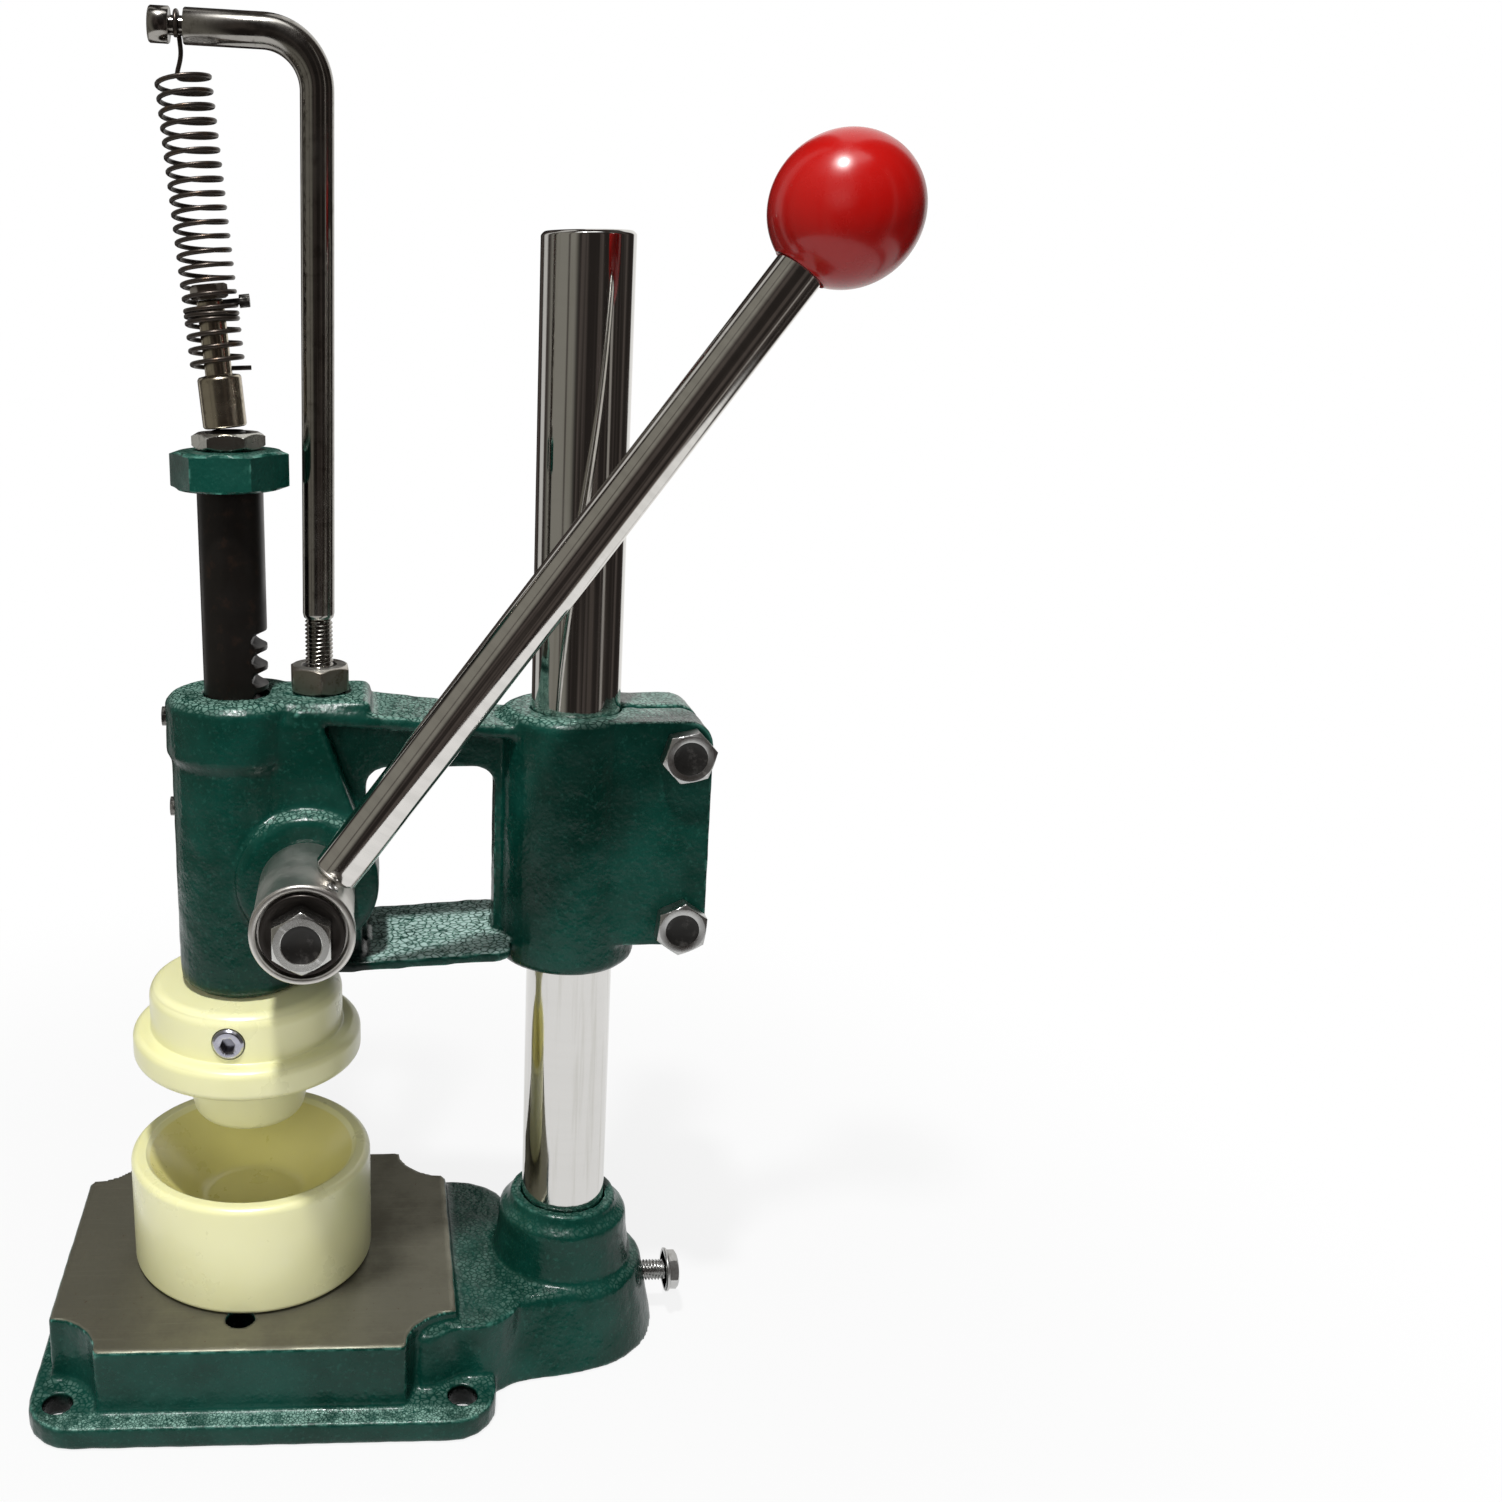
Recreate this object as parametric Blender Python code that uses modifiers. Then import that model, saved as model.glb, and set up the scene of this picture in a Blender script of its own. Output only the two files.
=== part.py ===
"""A hand press that forms tartlet shells, in metres with +Z up.

The origin is on the bench under the pressing axis. The column stands towards
+Y, the operator is at -Y, and the lever is on the +X side.
"""

import math

import bmesh
import bpy
from mathutils import Euler, Matrix, Vector

MM = 0.001

# Gaps between neighbours, and how far a cutter runs past what it cuts
CLEARANCE = 0.3 * MM
OVERRUN = 2 * MM

# Column
COLUMN_DIAMETER = 32 * MM
COLUMN_REACH = 122 * MM
COLUMN_TOP = 417 * MM
COLUMN_SEAT = 6 * MM
COLUMN_CHAMFER = 1.2 * MM

# Base: machined table, foot with four ears, and the column's socket
TABLE_TOP = 34.5 * MM
TABLE_DEPTH = 130 * MM
TABLE_LEFT = 72.5 * MM
TABLE_RIGHT = 78 * MM
TABLE_NOTCH_RADIUS = 19.5 * MM
TABLE_EDGE_BEVEL = 0.6 * MM
FOOT_DEPTH = 146 * MM
FOOT_LEFT = 79 * MM
FOOT_RIGHT = 92 * MM
FOOT_THICKNESS = 9 * MM
FOOT_CORNER_RADIUS = 18 * MM
FOOT_EDGE_BEVEL = 2.5 * MM
EAR_HOLE_DIAMETER = 11 * MM
EAR_HOLE_INSET = 14.3 * MM
EAR_HOLE_INSET_LEFT = 11 * MM
EAR_HOLE_INSET_RIGHT = 12.8 * MM
LINK_HALF_DEPTH = 49 * MM
LINK_SHORT_OF_COLUMN = 18 * MM
LINK_CORNER_RADIUS = 22 * MM
LOBE_TOP = 30 * MM
LOBE_TOP_RADIUS = 31 * MM
LOBE_FOOT_RADIUS = 36.5 * MM
LOBE_EDGE_BEVEL = 3 * MM
SOCKET_TOP = 56 * MM
SOCKET_RIM_HEIGHT = 49 * MM
SOCKET_RIM_RADIUS = 24.2 * MM
SOCKET_FOOT_RADIUS = 27 * MM
SOCKET_LIP = 2.2 * MM
DIE_HOLE_DIAMETER = 10.6 * MM
DIE_HOLE_DEPTH = 12 * MM
DIE_HOLE_FRONT = 47.4 * MM
DIE_HOLE_LEFT = 2 * MM

# Die cup that stands on the table
CUP_RADIUS = 46.2 * MM
CUP_RIM_HEIGHT = 78.4 * MM
CUP_MOUTH_RADIUS = 40 * MM
CUP_FLOOR_RADIUS = 20.5 * MM
CUP_FLOOR_HEIGHT = 56.4 * MM
CUP_FILLET = 2.4 * MM
CUP_EDGE = 1.4 * MM
SPIGOT_RADIUS = 10 * MM
SPIGOT_DEPTH = 8 * MM

# Head casting: ram housing, gear block, bridge and split sleeve
HOUSING_BOTTOM = 150 * MM
HOUSING_RADIUS = 24 * MM
HOUSING_EDGE = 3 * MM
COLLAR_RADIUS = 25.6 * MM
COLLAR_BOTTOM = 239 * MM
COLLAR_STEP = 3 * MM
HEAD_TOP = 260 * MM
PAD_HALF_DEPTH = 17 * MM
PAD_END = 48 * MM
PAD_BOTTOM = 252 * MM
BLOCK_HALF_DEPTH = 20 * MM
BLOCK_END = 44 * MM
BLOCK_BOTTOM = 160 * MM
BLOCK_SLANT_START = 214 * MM
BLOCK_TOP_END = 30 * MM
BLOCK_TOP = 255 * MM
ARMS_START = 20 * MM
BRIDGE_TOP = 258 * MM
BRIDGE_TOP_AT_SLEEVE = 250.5 * MM
BRIDGE_THICKNESS = 5 * MM
BRIDGE_HALF_DEPTH_AT_SLEEVE = 15 * MM
SHELF_TOP = 164.5 * MM
SHELF_TOP_AT_SLEEVE = 169.5 * MM
SHELF_THICKNESS = 4 * MM
SHELF_HALF_DEPTH = 26 * MM
SHELF_SHORT_OF_COLUMN = 24 * MM
SHELF_CORNER_RADIUS = 5 * MM
WEB_HALF_DEPTH = 6.5 * MM
WINDOW_START = 46 * MM
WINDOW_SHORT_OF_COLUMN = 29.5 * MM
WINDOW_TOP = 232.5 * MM
WINDOW_CORNER_RADIUS = 7 * MM
SLEEVE_RADIUS = 25.6 * MM
SLEEVE_OFFSET = 2 * MM
SLEEVE_BOTTOM = 158 * MM
SLEEVE_TOP = 253.5 * MM
SLEEVE_EDGE = 2.5 * MM
CLAMP_HALF_DEPTH = 22 * MM
CLAMP_REACH = 46 * MM
CLAMP_BOTTOM = 169 * MM
CLAMP_TOP = 253 * MM
CLAMP_CORNER_RADIUS = 9 * MM
CLAMP_SLOT = 3 * MM
CAST_BEVEL = 1.8 * MM
BOSS_RADIUS = 25.5 * MM
BOSS_HALF_LENGTH = 28 * MM
BOSS_EDGE = 2 * MM

# Rack and pinion
GEAR_MODULE = 2.25 * MM
PINION_TEETH = 14
PRESSURE_ANGLE = math.radians(20)
PINION_HEIGHT = 196 * MM
PINION_HALF_WIDTH = 10 * MM
ROOT_SHARE = 1.25
RACK_TEETH_BELOW = 3
RACK_SLOTS = 15
RACK_RAISED = 2.6 * MM
FLANK_STEPS = 4

# Ram, its nuts and the punch
RAM_RADIUS = 11.5 * MM
RAM_TOP = 343 * MM
RAM_CHAMFER = 1 * MM
RAM_STUD_RADIUS = 6 * MM
RAM_STUD_LENGTH = 9 * MM
STOP_NUT_FLATS = 36 * MM
STOP_NUT_BELOW_RAM_TOP = 11 * MM
STOP_NUT_HEIGHT = 13.3 * MM
STOP_NUT_TURN = math.radians(-5)
NUT_EDGE = 1 * MM
LOCK_NUT_FLATS = 22 * MM
LOCK_NUT_HEIGHT = 5.7 * MM
PUNCH_GAP_TO_HEAD = 0.5 * MM
PUNCH_BODY_RADIUS = 36.2 * MM
PUNCH_BODY_EDGE = 4 * MM
PUNCH_LEDGE_HEIGHT = 131.5 * MM
PUNCH_FLANGE_RADIUS = 43 * MM
PUNCH_FLANGE_BOTTOM = 119.5 * MM
PUNCH_FLANGE_EDGE = 1.8 * MM
PUNCH_NOSE_TOP_RADIUS = 26 * MM
PUNCH_NOSE_RADIUS = 20.8 * MM
PUNCH_NOSE_BOTTOM = 95.5 * MM
PUNCH_NOSE_EDGE = 2 * MM
PUNCH_STEM_RADIUS = 8 * MM
PUNCH_STEM_BOTTOM = 122 * MM
PUNCH_SCREW_HEIGHT = 139.4 * MM
PUNCH_SCREW_TURN = math.radians(-6.2)
PUNCH_SCREW_HEAD_RADIUS = 5.8 * MM
PUNCH_SCREW_HEAD_LENGTH = 4 * MM
PUNCH_SCREW_PROUD = 1 * MM
PUNCH_SCREW_RADIUS = 3 * MM
PUNCH_SCREW_SOCKET_FLATS = 5 * MM
PUNCH_SCREW_SOCKET_DEPTH = 2.5 * MM

# Lever, its hub and the pinion shaft
SHAFT_RADIUS = 10 * MM
SHAFT_BACK = 35 * MM
HUB_RADIUS = 16.8 * MM
HUB_RIM_RADIUS = 17.5 * MM
HUB_RIM_LENGTH = 5 * MM
HUB_END = 72 * MM
HUB_RECESS_RADIUS = 15 * MM
HUB_RECESS_DEPTH = 3 * MM
HUB_EDGE = 0.8 * MM
WASHER_RADIUS = 14.2 * MM
WASHER_THICKNESS = 2.5 * MM
HUB_BOLT_FLATS = 19 * MM
HUB_BOLT_HEAD = 7.5 * MM
HUB_BOLT_RADIUS = 6 * MM
HUB_BOLT_LENGTH = 18 * MM
LEVER_FORWARD = 53 * MM
LEVER_LENGTH = 280 * MM
LEVER_ANGLE = math.radians(36.6)
LEVER_ROD_RADIUS = 8 * MM
LEVER_ROD_SEAT = 17.2 * MM
LEVER_STUD_RADIUS = 5 * MM
LEVER_STUD_END = 11 * MM
LEVER_ROD_CHAMFER = 0.8 * MM
BALL_RADIUS = 23.3 * MM
BALL_SOCKET_DEPTH = 22 * MM
GRUB_FORWARD = 64 * MM
GRUB_RADIUS = 2.2 * MM
GRUB_LENGTH = 5 * MM
GRUB_PROUD = 0.5 * MM
BUSHING_WIDTH = 17 * MM
BACK_COLLAR_RADIUS = 15 * MM
BACK_COLLAR_WIDTH = 6 * MM
BACK_SCREW_RADIUS = 2.5 * MM

# Spring arm and its nut
ARM_RADIUS = 5.6 * MM
ARM_FOOT = 29.8 * MM
ARM_FOOT_DEPTH = 20 * MM
ARM_THREAD_RADIUS = 4.9 * MM
ARM_THREAD_ABOVE_HEAD = 26 * MM
ARM_TAPER = 2.2 * MM
ARM_CORNER_OFFSET = 32.6 * MM
ARM_CORNER_HEIGHT = 477.2 * MM
ARM_TIP = 21.2 * MM
ARM_TIP_HEIGHT = 480 * MM
ARM_BEND_RADIUS = 18 * MM
GROOVE_RADIUS = 3 * MM
GROOVE_WIDTH = 4.6 * MM
ARM_NUT_FLATS = 20 * MM
ARM_NUT_HEIGHT = 9.4 * MM
ARM_NUT_TURN = math.radians(35)
ARM_ROUND_STEPS = 3

# Return spring and the post that carries its lower end
SPRING_LEAN = math.radians(5.1)
SPRING_RADIUS = 8.6 * MM
SPRING_WIRE_RADIUS = 0.8 * MM
SPRING_BELOW_ARM = 8.1 * MM
SPRING_ABOVE_RAM = 29.8 * MM
SPRING_CURL_HEIGHT = 4.89 * MM
SPRING_LAST_CURL_SHARE = 0.75
SPRING_TAIL = 10.6 * MM
SPRING_ROUND_STEPS = 1
SPRING_HOOK_GAP = 0.5 * MM
SPRING_STEM = 7 * MM
SPRING_HOOK_SWEEP = math.radians(235)
SPRING_LEAD = 9 * MM
SPRING_RISE = 7 * MM
POST_ABOVE_RAM = 10 * MM
POST_RADIUS = 7.5 * MM
POST_SHOULDER_LENGTH = 17 * MM
POST_NECK_RADIUS = 4.6 * MM
POST_LENGTH = 42 * MM
POST_CAP_FLATS = 11 * MM
POST_CAP_HEIGHT = 5 * MM
POST_SCREW_TURNS_UP = 4.25
POST_SCREW_RADIUS = 1.1 * MM
POST_SCREW_END = 4.2 * MM
POST_SCREW_HEAD_START = 9.8 * MM
POST_SCREW_HEAD_RADIUS = 2.2 * MM
POST_SCREW_HEAD_LENGTH = 3.4 * MM

# Fasteners
BOLT_RADIUS = 5 * MM
BOLT_FLATS = 17 * MM
BOLT_HEAD = 6.4 * MM
BOLT_NUT = 8 * MM
BOLT_DISH_SHARE = 0.36
BOLT_DISH_DEPTH = 0.8 * MM
CLAMP_BOLT_OUT = 36.5 * MM
CLAMP_BOLT_HEIGHTS = {"upper": 241.5 * MM, "lower": 177.5 * MM}
CLAMP_BOLT_TURNS = {"upper": math.radians(12), "lower": math.radians(24)}
COLUMN_BOLT_RADIUS = 4 * MM
COLUMN_BOLT_FLATS = 13 * MM
COLUMN_BOLT_HEAD = 5.2 * MM
COLUMN_BOLT_FLANGE_RADIUS = 8.4 * MM
COLUMN_BOLT_FLANGE = 1.4 * MM
COLUMN_BOLT_HEIGHT = 18.5 * MM
COLUMN_BOLT_PROUD = 8.6 * MM
GUIDE_SCREW_HEIGHTS = {"upper": 251 * MM, "lower": 217 * MM}
GUIDE_SCREW_RADIUS = 3.5 * MM
GUIDE_SCREW_PROUD = 1.2 * MM
GUIDE_SCREW_SOCKET_DEPTH = 2.5 * MM
BUSHING_SCREW_RADIUS = 3 * MM

# Facets round a turned piece, by how large it is
LARGE_FACETS = 40
ROUND_FACETS = 28
SMALL_FACETS = 16
ARC_STEPS = 5
CURL_POINTS = 8
SMOOTH_ANGLE = math.radians(35)
MERGE_DISTANCE = 0.01 * MM

# The exact solver leaves slits in the pieces with many crossing bores
BRANCHED_SOLVER = "MANIFOLD"

# Values that follow from those above
PITCH_RADIUS = GEAR_MODULE * PINION_TEETH / 2
TOOTH_PITCH = math.pi * GEAR_MODULE
PINION_TIP_RADIUS = PITCH_RADIUS + GEAR_MODULE
PINION_ROOT_RADIUS = PITCH_RADIUS - ROOT_SHARE * GEAR_MODULE
PINION_BASE_RADIUS = PITCH_RADIUS * math.cos(PRESSURE_ANGLE)
RACK_PITCH_LINE = RAM_RADIUS - GEAR_MODULE
RACK_ROOT = RACK_PITCH_LINE - ROOT_SHARE * GEAR_MODULE
PINION_OFFSET = RACK_PITCH_LINE + PITCH_RADIUS
CHAMBER_RADIUS = PINION_TIP_RADIUS + CLEARANCE
BUSHING_RADIUS = CHAMBER_RADIUS - CLEARANCE
SLEEVE_CENTRE = COLUMN_REACH - SLEEVE_OFFSET
LINK_END = COLUMN_REACH - LINK_SHORT_OF_COLUMN
SHELF_END = COLUMN_REACH - SHELF_SHORT_OF_COLUMN
WINDOW_END = COLUMN_REACH - WINDOW_SHORT_OF_COLUMN
RAM_STUD_TOP = RAM_TOP + RAM_STUD_LENGTH
STOP_NUT_BOTTOM = RAM_TOP - STOP_NUT_BELOW_RAM_TOP
STOP_NUT_TOP = STOP_NUT_BOTTOM + STOP_NUT_HEIGHT
ARM_FOOT_BOTTOM = HEAD_TOP - ARM_FOOT_DEPTH
ARM_THREAD_TOP = HEAD_TOP + ARM_THREAD_ABOVE_HEAD
SPRING_BOTTOM = RAM_TOP + SPRING_ABOVE_RAM
POST_BOTTOM = RAM_TOP + POST_ABOVE_RAM
POST_SHOULDER = POST_BOTTOM + POST_SHOULDER_LENGTH
POST_TOP = POST_BOTTOM + POST_LENGTH
PUNCH_TOP = HOUSING_BOTTOM - PUNCH_GAP_TO_HEAD
CUP_SEAT = TABLE_TOP + CLEARANCE
ALONG_X = Euler((0, math.pi / 2, 0)).to_matrix().to_4x4()
ALONG_Y = Euler((-math.pi / 2, 0, 0)).to_matrix().to_4x4()
FLAT_IN_YZ = Euler((math.pi / 2, 0, math.pi / 2)).to_matrix().to_4x4()
LEVER_DIRECTION = Vector((0, math.sin(LEVER_ANGLE), math.cos(LEVER_ANGLE)))
SPRING_AXIS = Vector((0, -math.sin(SPRING_LEAN), math.cos(SPRING_LEAN)))
SPRING_SIDE = Vector((0, math.cos(SPRING_LEAN), math.sin(SPRING_LEAN)))
SPRING_PIVOT = Vector((0, 0, RAM_TOP))

# Paint and metal: colour, roughness, metallic
FINISHES = {
    "green_enamel": ((0.012, 0.085, 0.062), 0.32, 0.0),
    "chrome": ((0.55, 0.54, 0.53), 0.12, 1.0),
    "zinc_steel": ((0.42, 0.42, 0.42), 0.34, 1.0),
    "turned_steel": ((0.50, 0.48, 0.46), 0.28, 1.0),
    "black_steel": ((0.030, 0.025, 0.022), 0.42, 0.6),
    "ivory_plastic": ((0.80, 0.78, 0.50), 0.38, 0.0),
    "red_plastic": ((0.60, 0.025, 0.018), 0.16, 0.0),
    "bronze": ((0.45, 0.27, 0.11), 0.35, 1.0),
}


def clear_scene():
    """Remove every object, so that the script can be run again."""
    for old in list(bpy.data.objects):
        bpy.data.objects.remove(old, do_unlink=True)


def new_collection(name):
    collection = bpy.data.collections.new(name)
    bpy.context.scene.collection.children.link(collection)
    return collection


def new_material(node_name, finish):
    """A Principled material of one finish, for one sub-part."""
    colour, roughness, metallic = FINISHES[finish]
    material = bpy.data.materials.new(node_name + "_" + finish)
    material.use_nodes = True
    shader = material.node_tree.nodes["Principled BSDF"]
    shader.inputs["Base Color"].default_value = (*colour, 1)
    shader.inputs["Roughness"].default_value = roughness
    shader.inputs["Metallic"].default_value = metallic
    material.diffuse_color = (*colour, 1)
    return material


clear_scene()
PARTS = new_collection("tartlet_shell_maker")
CUTTERS = new_collection("cutters")


def as_cutter(obj):
    """Put a construction shape away from the parts."""
    for collection in list(obj.users_collection):
        collection.objects.unlink(obj)
    CUTTERS.objects.link(obj)
    obj.hide_render = True
    obj.display_type = "WIRE"
    return obj


def as_part(obj, name, finish):
    """Name a finished sub-part and give it its material."""
    for collection in list(obj.users_collection):
        collection.objects.unlink(obj)
    PARTS.objects.link(obj)
    obj.hide_render = False
    obj.display_type = "TEXTURED"
    obj.name = name
    obj.data.name = name
    obj.data.materials.clear()
    obj.data.materials.append(new_material(name, finish))
    return obj


def box(low, high, bevel=0):
    """A box between two corners, with its edges rounded where asked."""
    low = Vector(low)
    high = Vector(high)
    bpy.ops.mesh.primitive_cube_add(size=1, location=(low + high) / 2)
    obj = bpy.context.object
    obj.data.transform(Matrix.Diagonal((*(high - low), 1)))
    add_bevel(obj, bevel)
    return as_cutter(obj)


def cylinder(radius, start, end, place=Matrix(), facets=ROUND_FACETS):
    """A cylinder from start to end along the local Z of a placing matrix."""
    middle = Matrix.Translation((0, 0, (start + end) / 2))
    bpy.ops.mesh.primitive_cylinder_add(vertices=facets, radius=radius, depth=end - start)
    obj = bpy.context.object
    obj.data.transform(middle)
    obj.matrix_world = place
    obj.data.shade_smooth()
    obj.data.set_sharp_from_angle(angle=SMOOTH_ANGLE)
    return as_cutter(obj)


def hexagon(flats, start, end, place=Matrix(), turn=0):
    """A hexagonal prism by its width across flats."""
    radius = flats / math.sqrt(3)
    obj = cylinder(radius, start, end, place @ Matrix.Rotation(turn, 4, "Z"), facets=6)
    obj.data.set_sharp_from_angle(angle=0)
    return obj


def turned(profile, place=Matrix(), facets=ROUND_FACETS):
    """A profile of (radius, height) points, from the top down, spun about Z."""
    mesh = bpy.data.meshes.new("profile")
    points = [(radius, 0, height) for radius, height in profile]
    mesh.from_pydata(points, [(i, i + 1) for i in range(len(points) - 1)], [])
    obj = bpy.data.objects.new("turned", mesh)
    bpy.context.scene.collection.objects.link(obj)
    spin = obj.modifiers.new("Spin", "SCREW")
    spin.steps = facets
    spin.render_steps = facets
    spin.use_merge_vertices = True
    spin.merge_threshold = MERGE_DISTANCE
    spin.use_smooth_shade = True
    obj.matrix_world = place
    return as_cutter(obj)


def add_bevel(obj, width, segments=1):
    """Round the sharp edges of a simple shape before it is joined."""
    if width:
        bevel = obj.modifiers.new("Rounded edges", "BEVEL")
        bevel.width = width
        bevel.segments = segments
        bevel.limit_method = "ANGLE"


def from_curve(curve_object, place=Matrix()):
    """The closed mesh of a curve object, with its caps welded."""
    bpy.context.scene.collection.objects.link(curve_object)
    evaluated = curve_object.evaluated_get(bpy.context.evaluated_depsgraph_get())
    mesh = bpy.data.meshes.new_from_object(evaluated)
    bpy.data.objects.remove(curve_object, do_unlink=True)
    cage = bmesh.new()
    cage.from_mesh(mesh)
    bmesh.ops.remove_doubles(cage, verts=cage.verts, dist=MERGE_DISTANCE)
    bmesh.ops.recalc_face_normals(cage, faces=cage.faces)
    cage.to_mesh(mesh)
    cage.free()
    obj = bpy.data.objects.new("shape", mesh)
    obj.matrix_world = place
    bpy.context.scene.collection.objects.link(obj)
    return as_cutter(obj)


def flat_outline(points, thickness, place=Matrix()):
    """A closed outline in the local XY plane, extruded evenly to both sides."""
    curve = bpy.data.curves.new("outline", "CURVE")
    curve.dimensions = "2D"
    curve.fill_mode = "BOTH"
    curve.extrude = thickness / 2
    line = curve.splines.new("POLY")
    line.points.add(len(points) - 1)
    for point, (across, along) in zip(line.points, points):
        point.co = (across, along, 0, 1)
    line.use_cyclic_u = True
    return from_curve(bpy.data.objects.new("outline", curve), place)


def tube(points, radius, resolution):
    """A round wire along a list of points, closed at both ends."""
    curve = bpy.data.curves.new("wire", "CURVE")
    curve.dimensions = "3D"
    curve.bevel_depth = radius
    curve.bevel_resolution = resolution
    curve.use_fill_caps = True
    line = curve.splines.new("POLY")
    line.points.add(len(points) - 1)
    for point, place in zip(line.points, points):
        point.co = (*place, 1)
    line.use_smooth = True
    return from_curve(bpy.data.objects.new("wire", curve))


def combine(obj, others, operation, solver):
    """Add one Boolean modifier for each other shape."""
    for other in others:
        step = obj.modifiers.new(operation.title(), "BOOLEAN")
        step.operation = operation
        step.solver = solver
        step.object = other
    return obj


def join(obj, others, solver="EXACT"):
    return combine(obj, others, "UNION", solver)


def cut(obj, others, solver="EXACT"):
    return combine(obj, others, "DIFFERENCE", solver)


def at(across, along, height=0):
    return Matrix.Translation((across, along, height))


def arc(centre, radius, start, end, steps=ARC_STEPS):
    """Points along an arc in a plane, from one angle in degrees to another."""
    angles = [math.radians(start + (end - start) * i / steps) for i in range(steps + 1)]
    return [(centre[0] + radius * math.cos(a), centre[1] + radius * math.sin(a)) for a in angles]


def rounded_rectangle(low, high, radius):
    """The outline of a rectangle with round corners, anticlockwise."""
    corners = [
        (high[0] - radius, high[1] - radius, 0),
        (low[0] + radius, high[1] - radius, 90),
        (low[0] + radius, low[1] + radius, 180),
        (high[0] - radius, low[1] + radius, 270),
    ]
    outline = []
    for across, along, start in corners:
        outline += arc((across, along), radius, start, start + 90)
    return outline


def pinion_outline():
    """Involute teeth of a spur pinion, with a space where the rack's tooth is."""
    at_pitch = math.pi / (2 * PINION_TEETH) - CLEARANCE / (2 * PITCH_RADIUS)
    involute = math.tan(PRESSURE_ANGLE) - PRESSURE_ANGLE
    flank = [PINION_ROOT_RADIUS]
    for i in range(FLANK_STEPS + 1):
        flank.append(PINION_BASE_RADIUS + (PINION_TIP_RADIUS - PINION_BASE_RADIUS) * i / FLANK_STEPS)
    half = []
    for radius in flank:
        pressure = math.acos(min(PINION_BASE_RADIUS / radius, 1))
        half.append((radius, at_pitch + involute - (math.tan(pressure) - pressure)))
    outline = []
    for tooth in range(PINION_TEETH):
        middle = math.pi - RACK_RAISED / PITCH_RADIUS + (tooth + 0.5) * 2 * math.pi / PINION_TEETH
        side = [(radius, middle - angle) for radius, angle in half]
        side += [(radius, middle + angle) for radius, angle in reversed(half)]
        outline += [(radius * math.cos(angle), radius * math.sin(angle)) for radius, angle in side]
    return outline


def rack_slots():
    """The spaces between the rack's teeth, as one row of prisms."""
    past = RAM_RADIUS + OVERRUN
    slope = math.tan(PRESSURE_ANGLE)
    half = TOOTH_PITCH / 4 + CLEARANCE / 2
    foot = half - (RACK_PITCH_LINE - RACK_ROOT) * slope
    mouth = half + (past - RACK_PITCH_LINE) * slope
    outline = [(RACK_ROOT, -foot), (past, -mouth), (past, mouth), (RACK_ROOT, foot)]
    first = PINION_HEIGHT + RACK_RAISED - (RACK_TEETH_BELOW - 0.5) * TOOTH_PITCH
    slots = flat_outline(outline, 2 * past, at(0, 0, first) @ FLAT_IN_YZ)
    row = slots.modifiers.new("Row", "ARRAY")
    row.count = RACK_SLOTS
    row.use_relative_offset = False
    row.use_constant_offset = True
    row.constant_offset_displace = (0, TOOTH_PITCH, 0)
    return slots


def hex_bolt(flats, head, radius, length, place, turn=0):
    """A bolt whose head rises along local Z from zero, with a dished top."""
    bolt = hexagon(flats, 0, head, place, turn)
    shank = cylinder(radius, -length, head / 2, place, SMALL_FACETS)
    dish = cylinder(flats * BOLT_DISH_SHARE, head - BOLT_DISH_DEPTH, head + OVERRUN, place, SMALL_FACETS)
    join(bolt, [shank])
    return cut(bolt, [dish])


def hex_nut(flats, height, bore, place, turn=0):
    """A nut that stands on local Z zero, with a plain bore."""
    nut = hexagon(flats, 0, height, place, turn)
    hole = cylinder(bore, -OVERRUN, height + OVERRUN, place, SMALL_FACETS)
    return cut(nut, [hole])


def table_outline():
    """The machined table: a rectangle whose corners are scooped for the ears."""
    half = TABLE_DEPTH / 2
    radius = TABLE_NOTCH_RADIUS
    outline = arc((half, TABLE_RIGHT), radius, 270, 180)
    outline += arc((-half, TABLE_RIGHT), radius, 0, -90)
    outline += arc((-half, -TABLE_LEFT), radius, 90, 0)
    outline += arc((half, -TABLE_LEFT), radius, 180, 90)
    return outline


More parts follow.
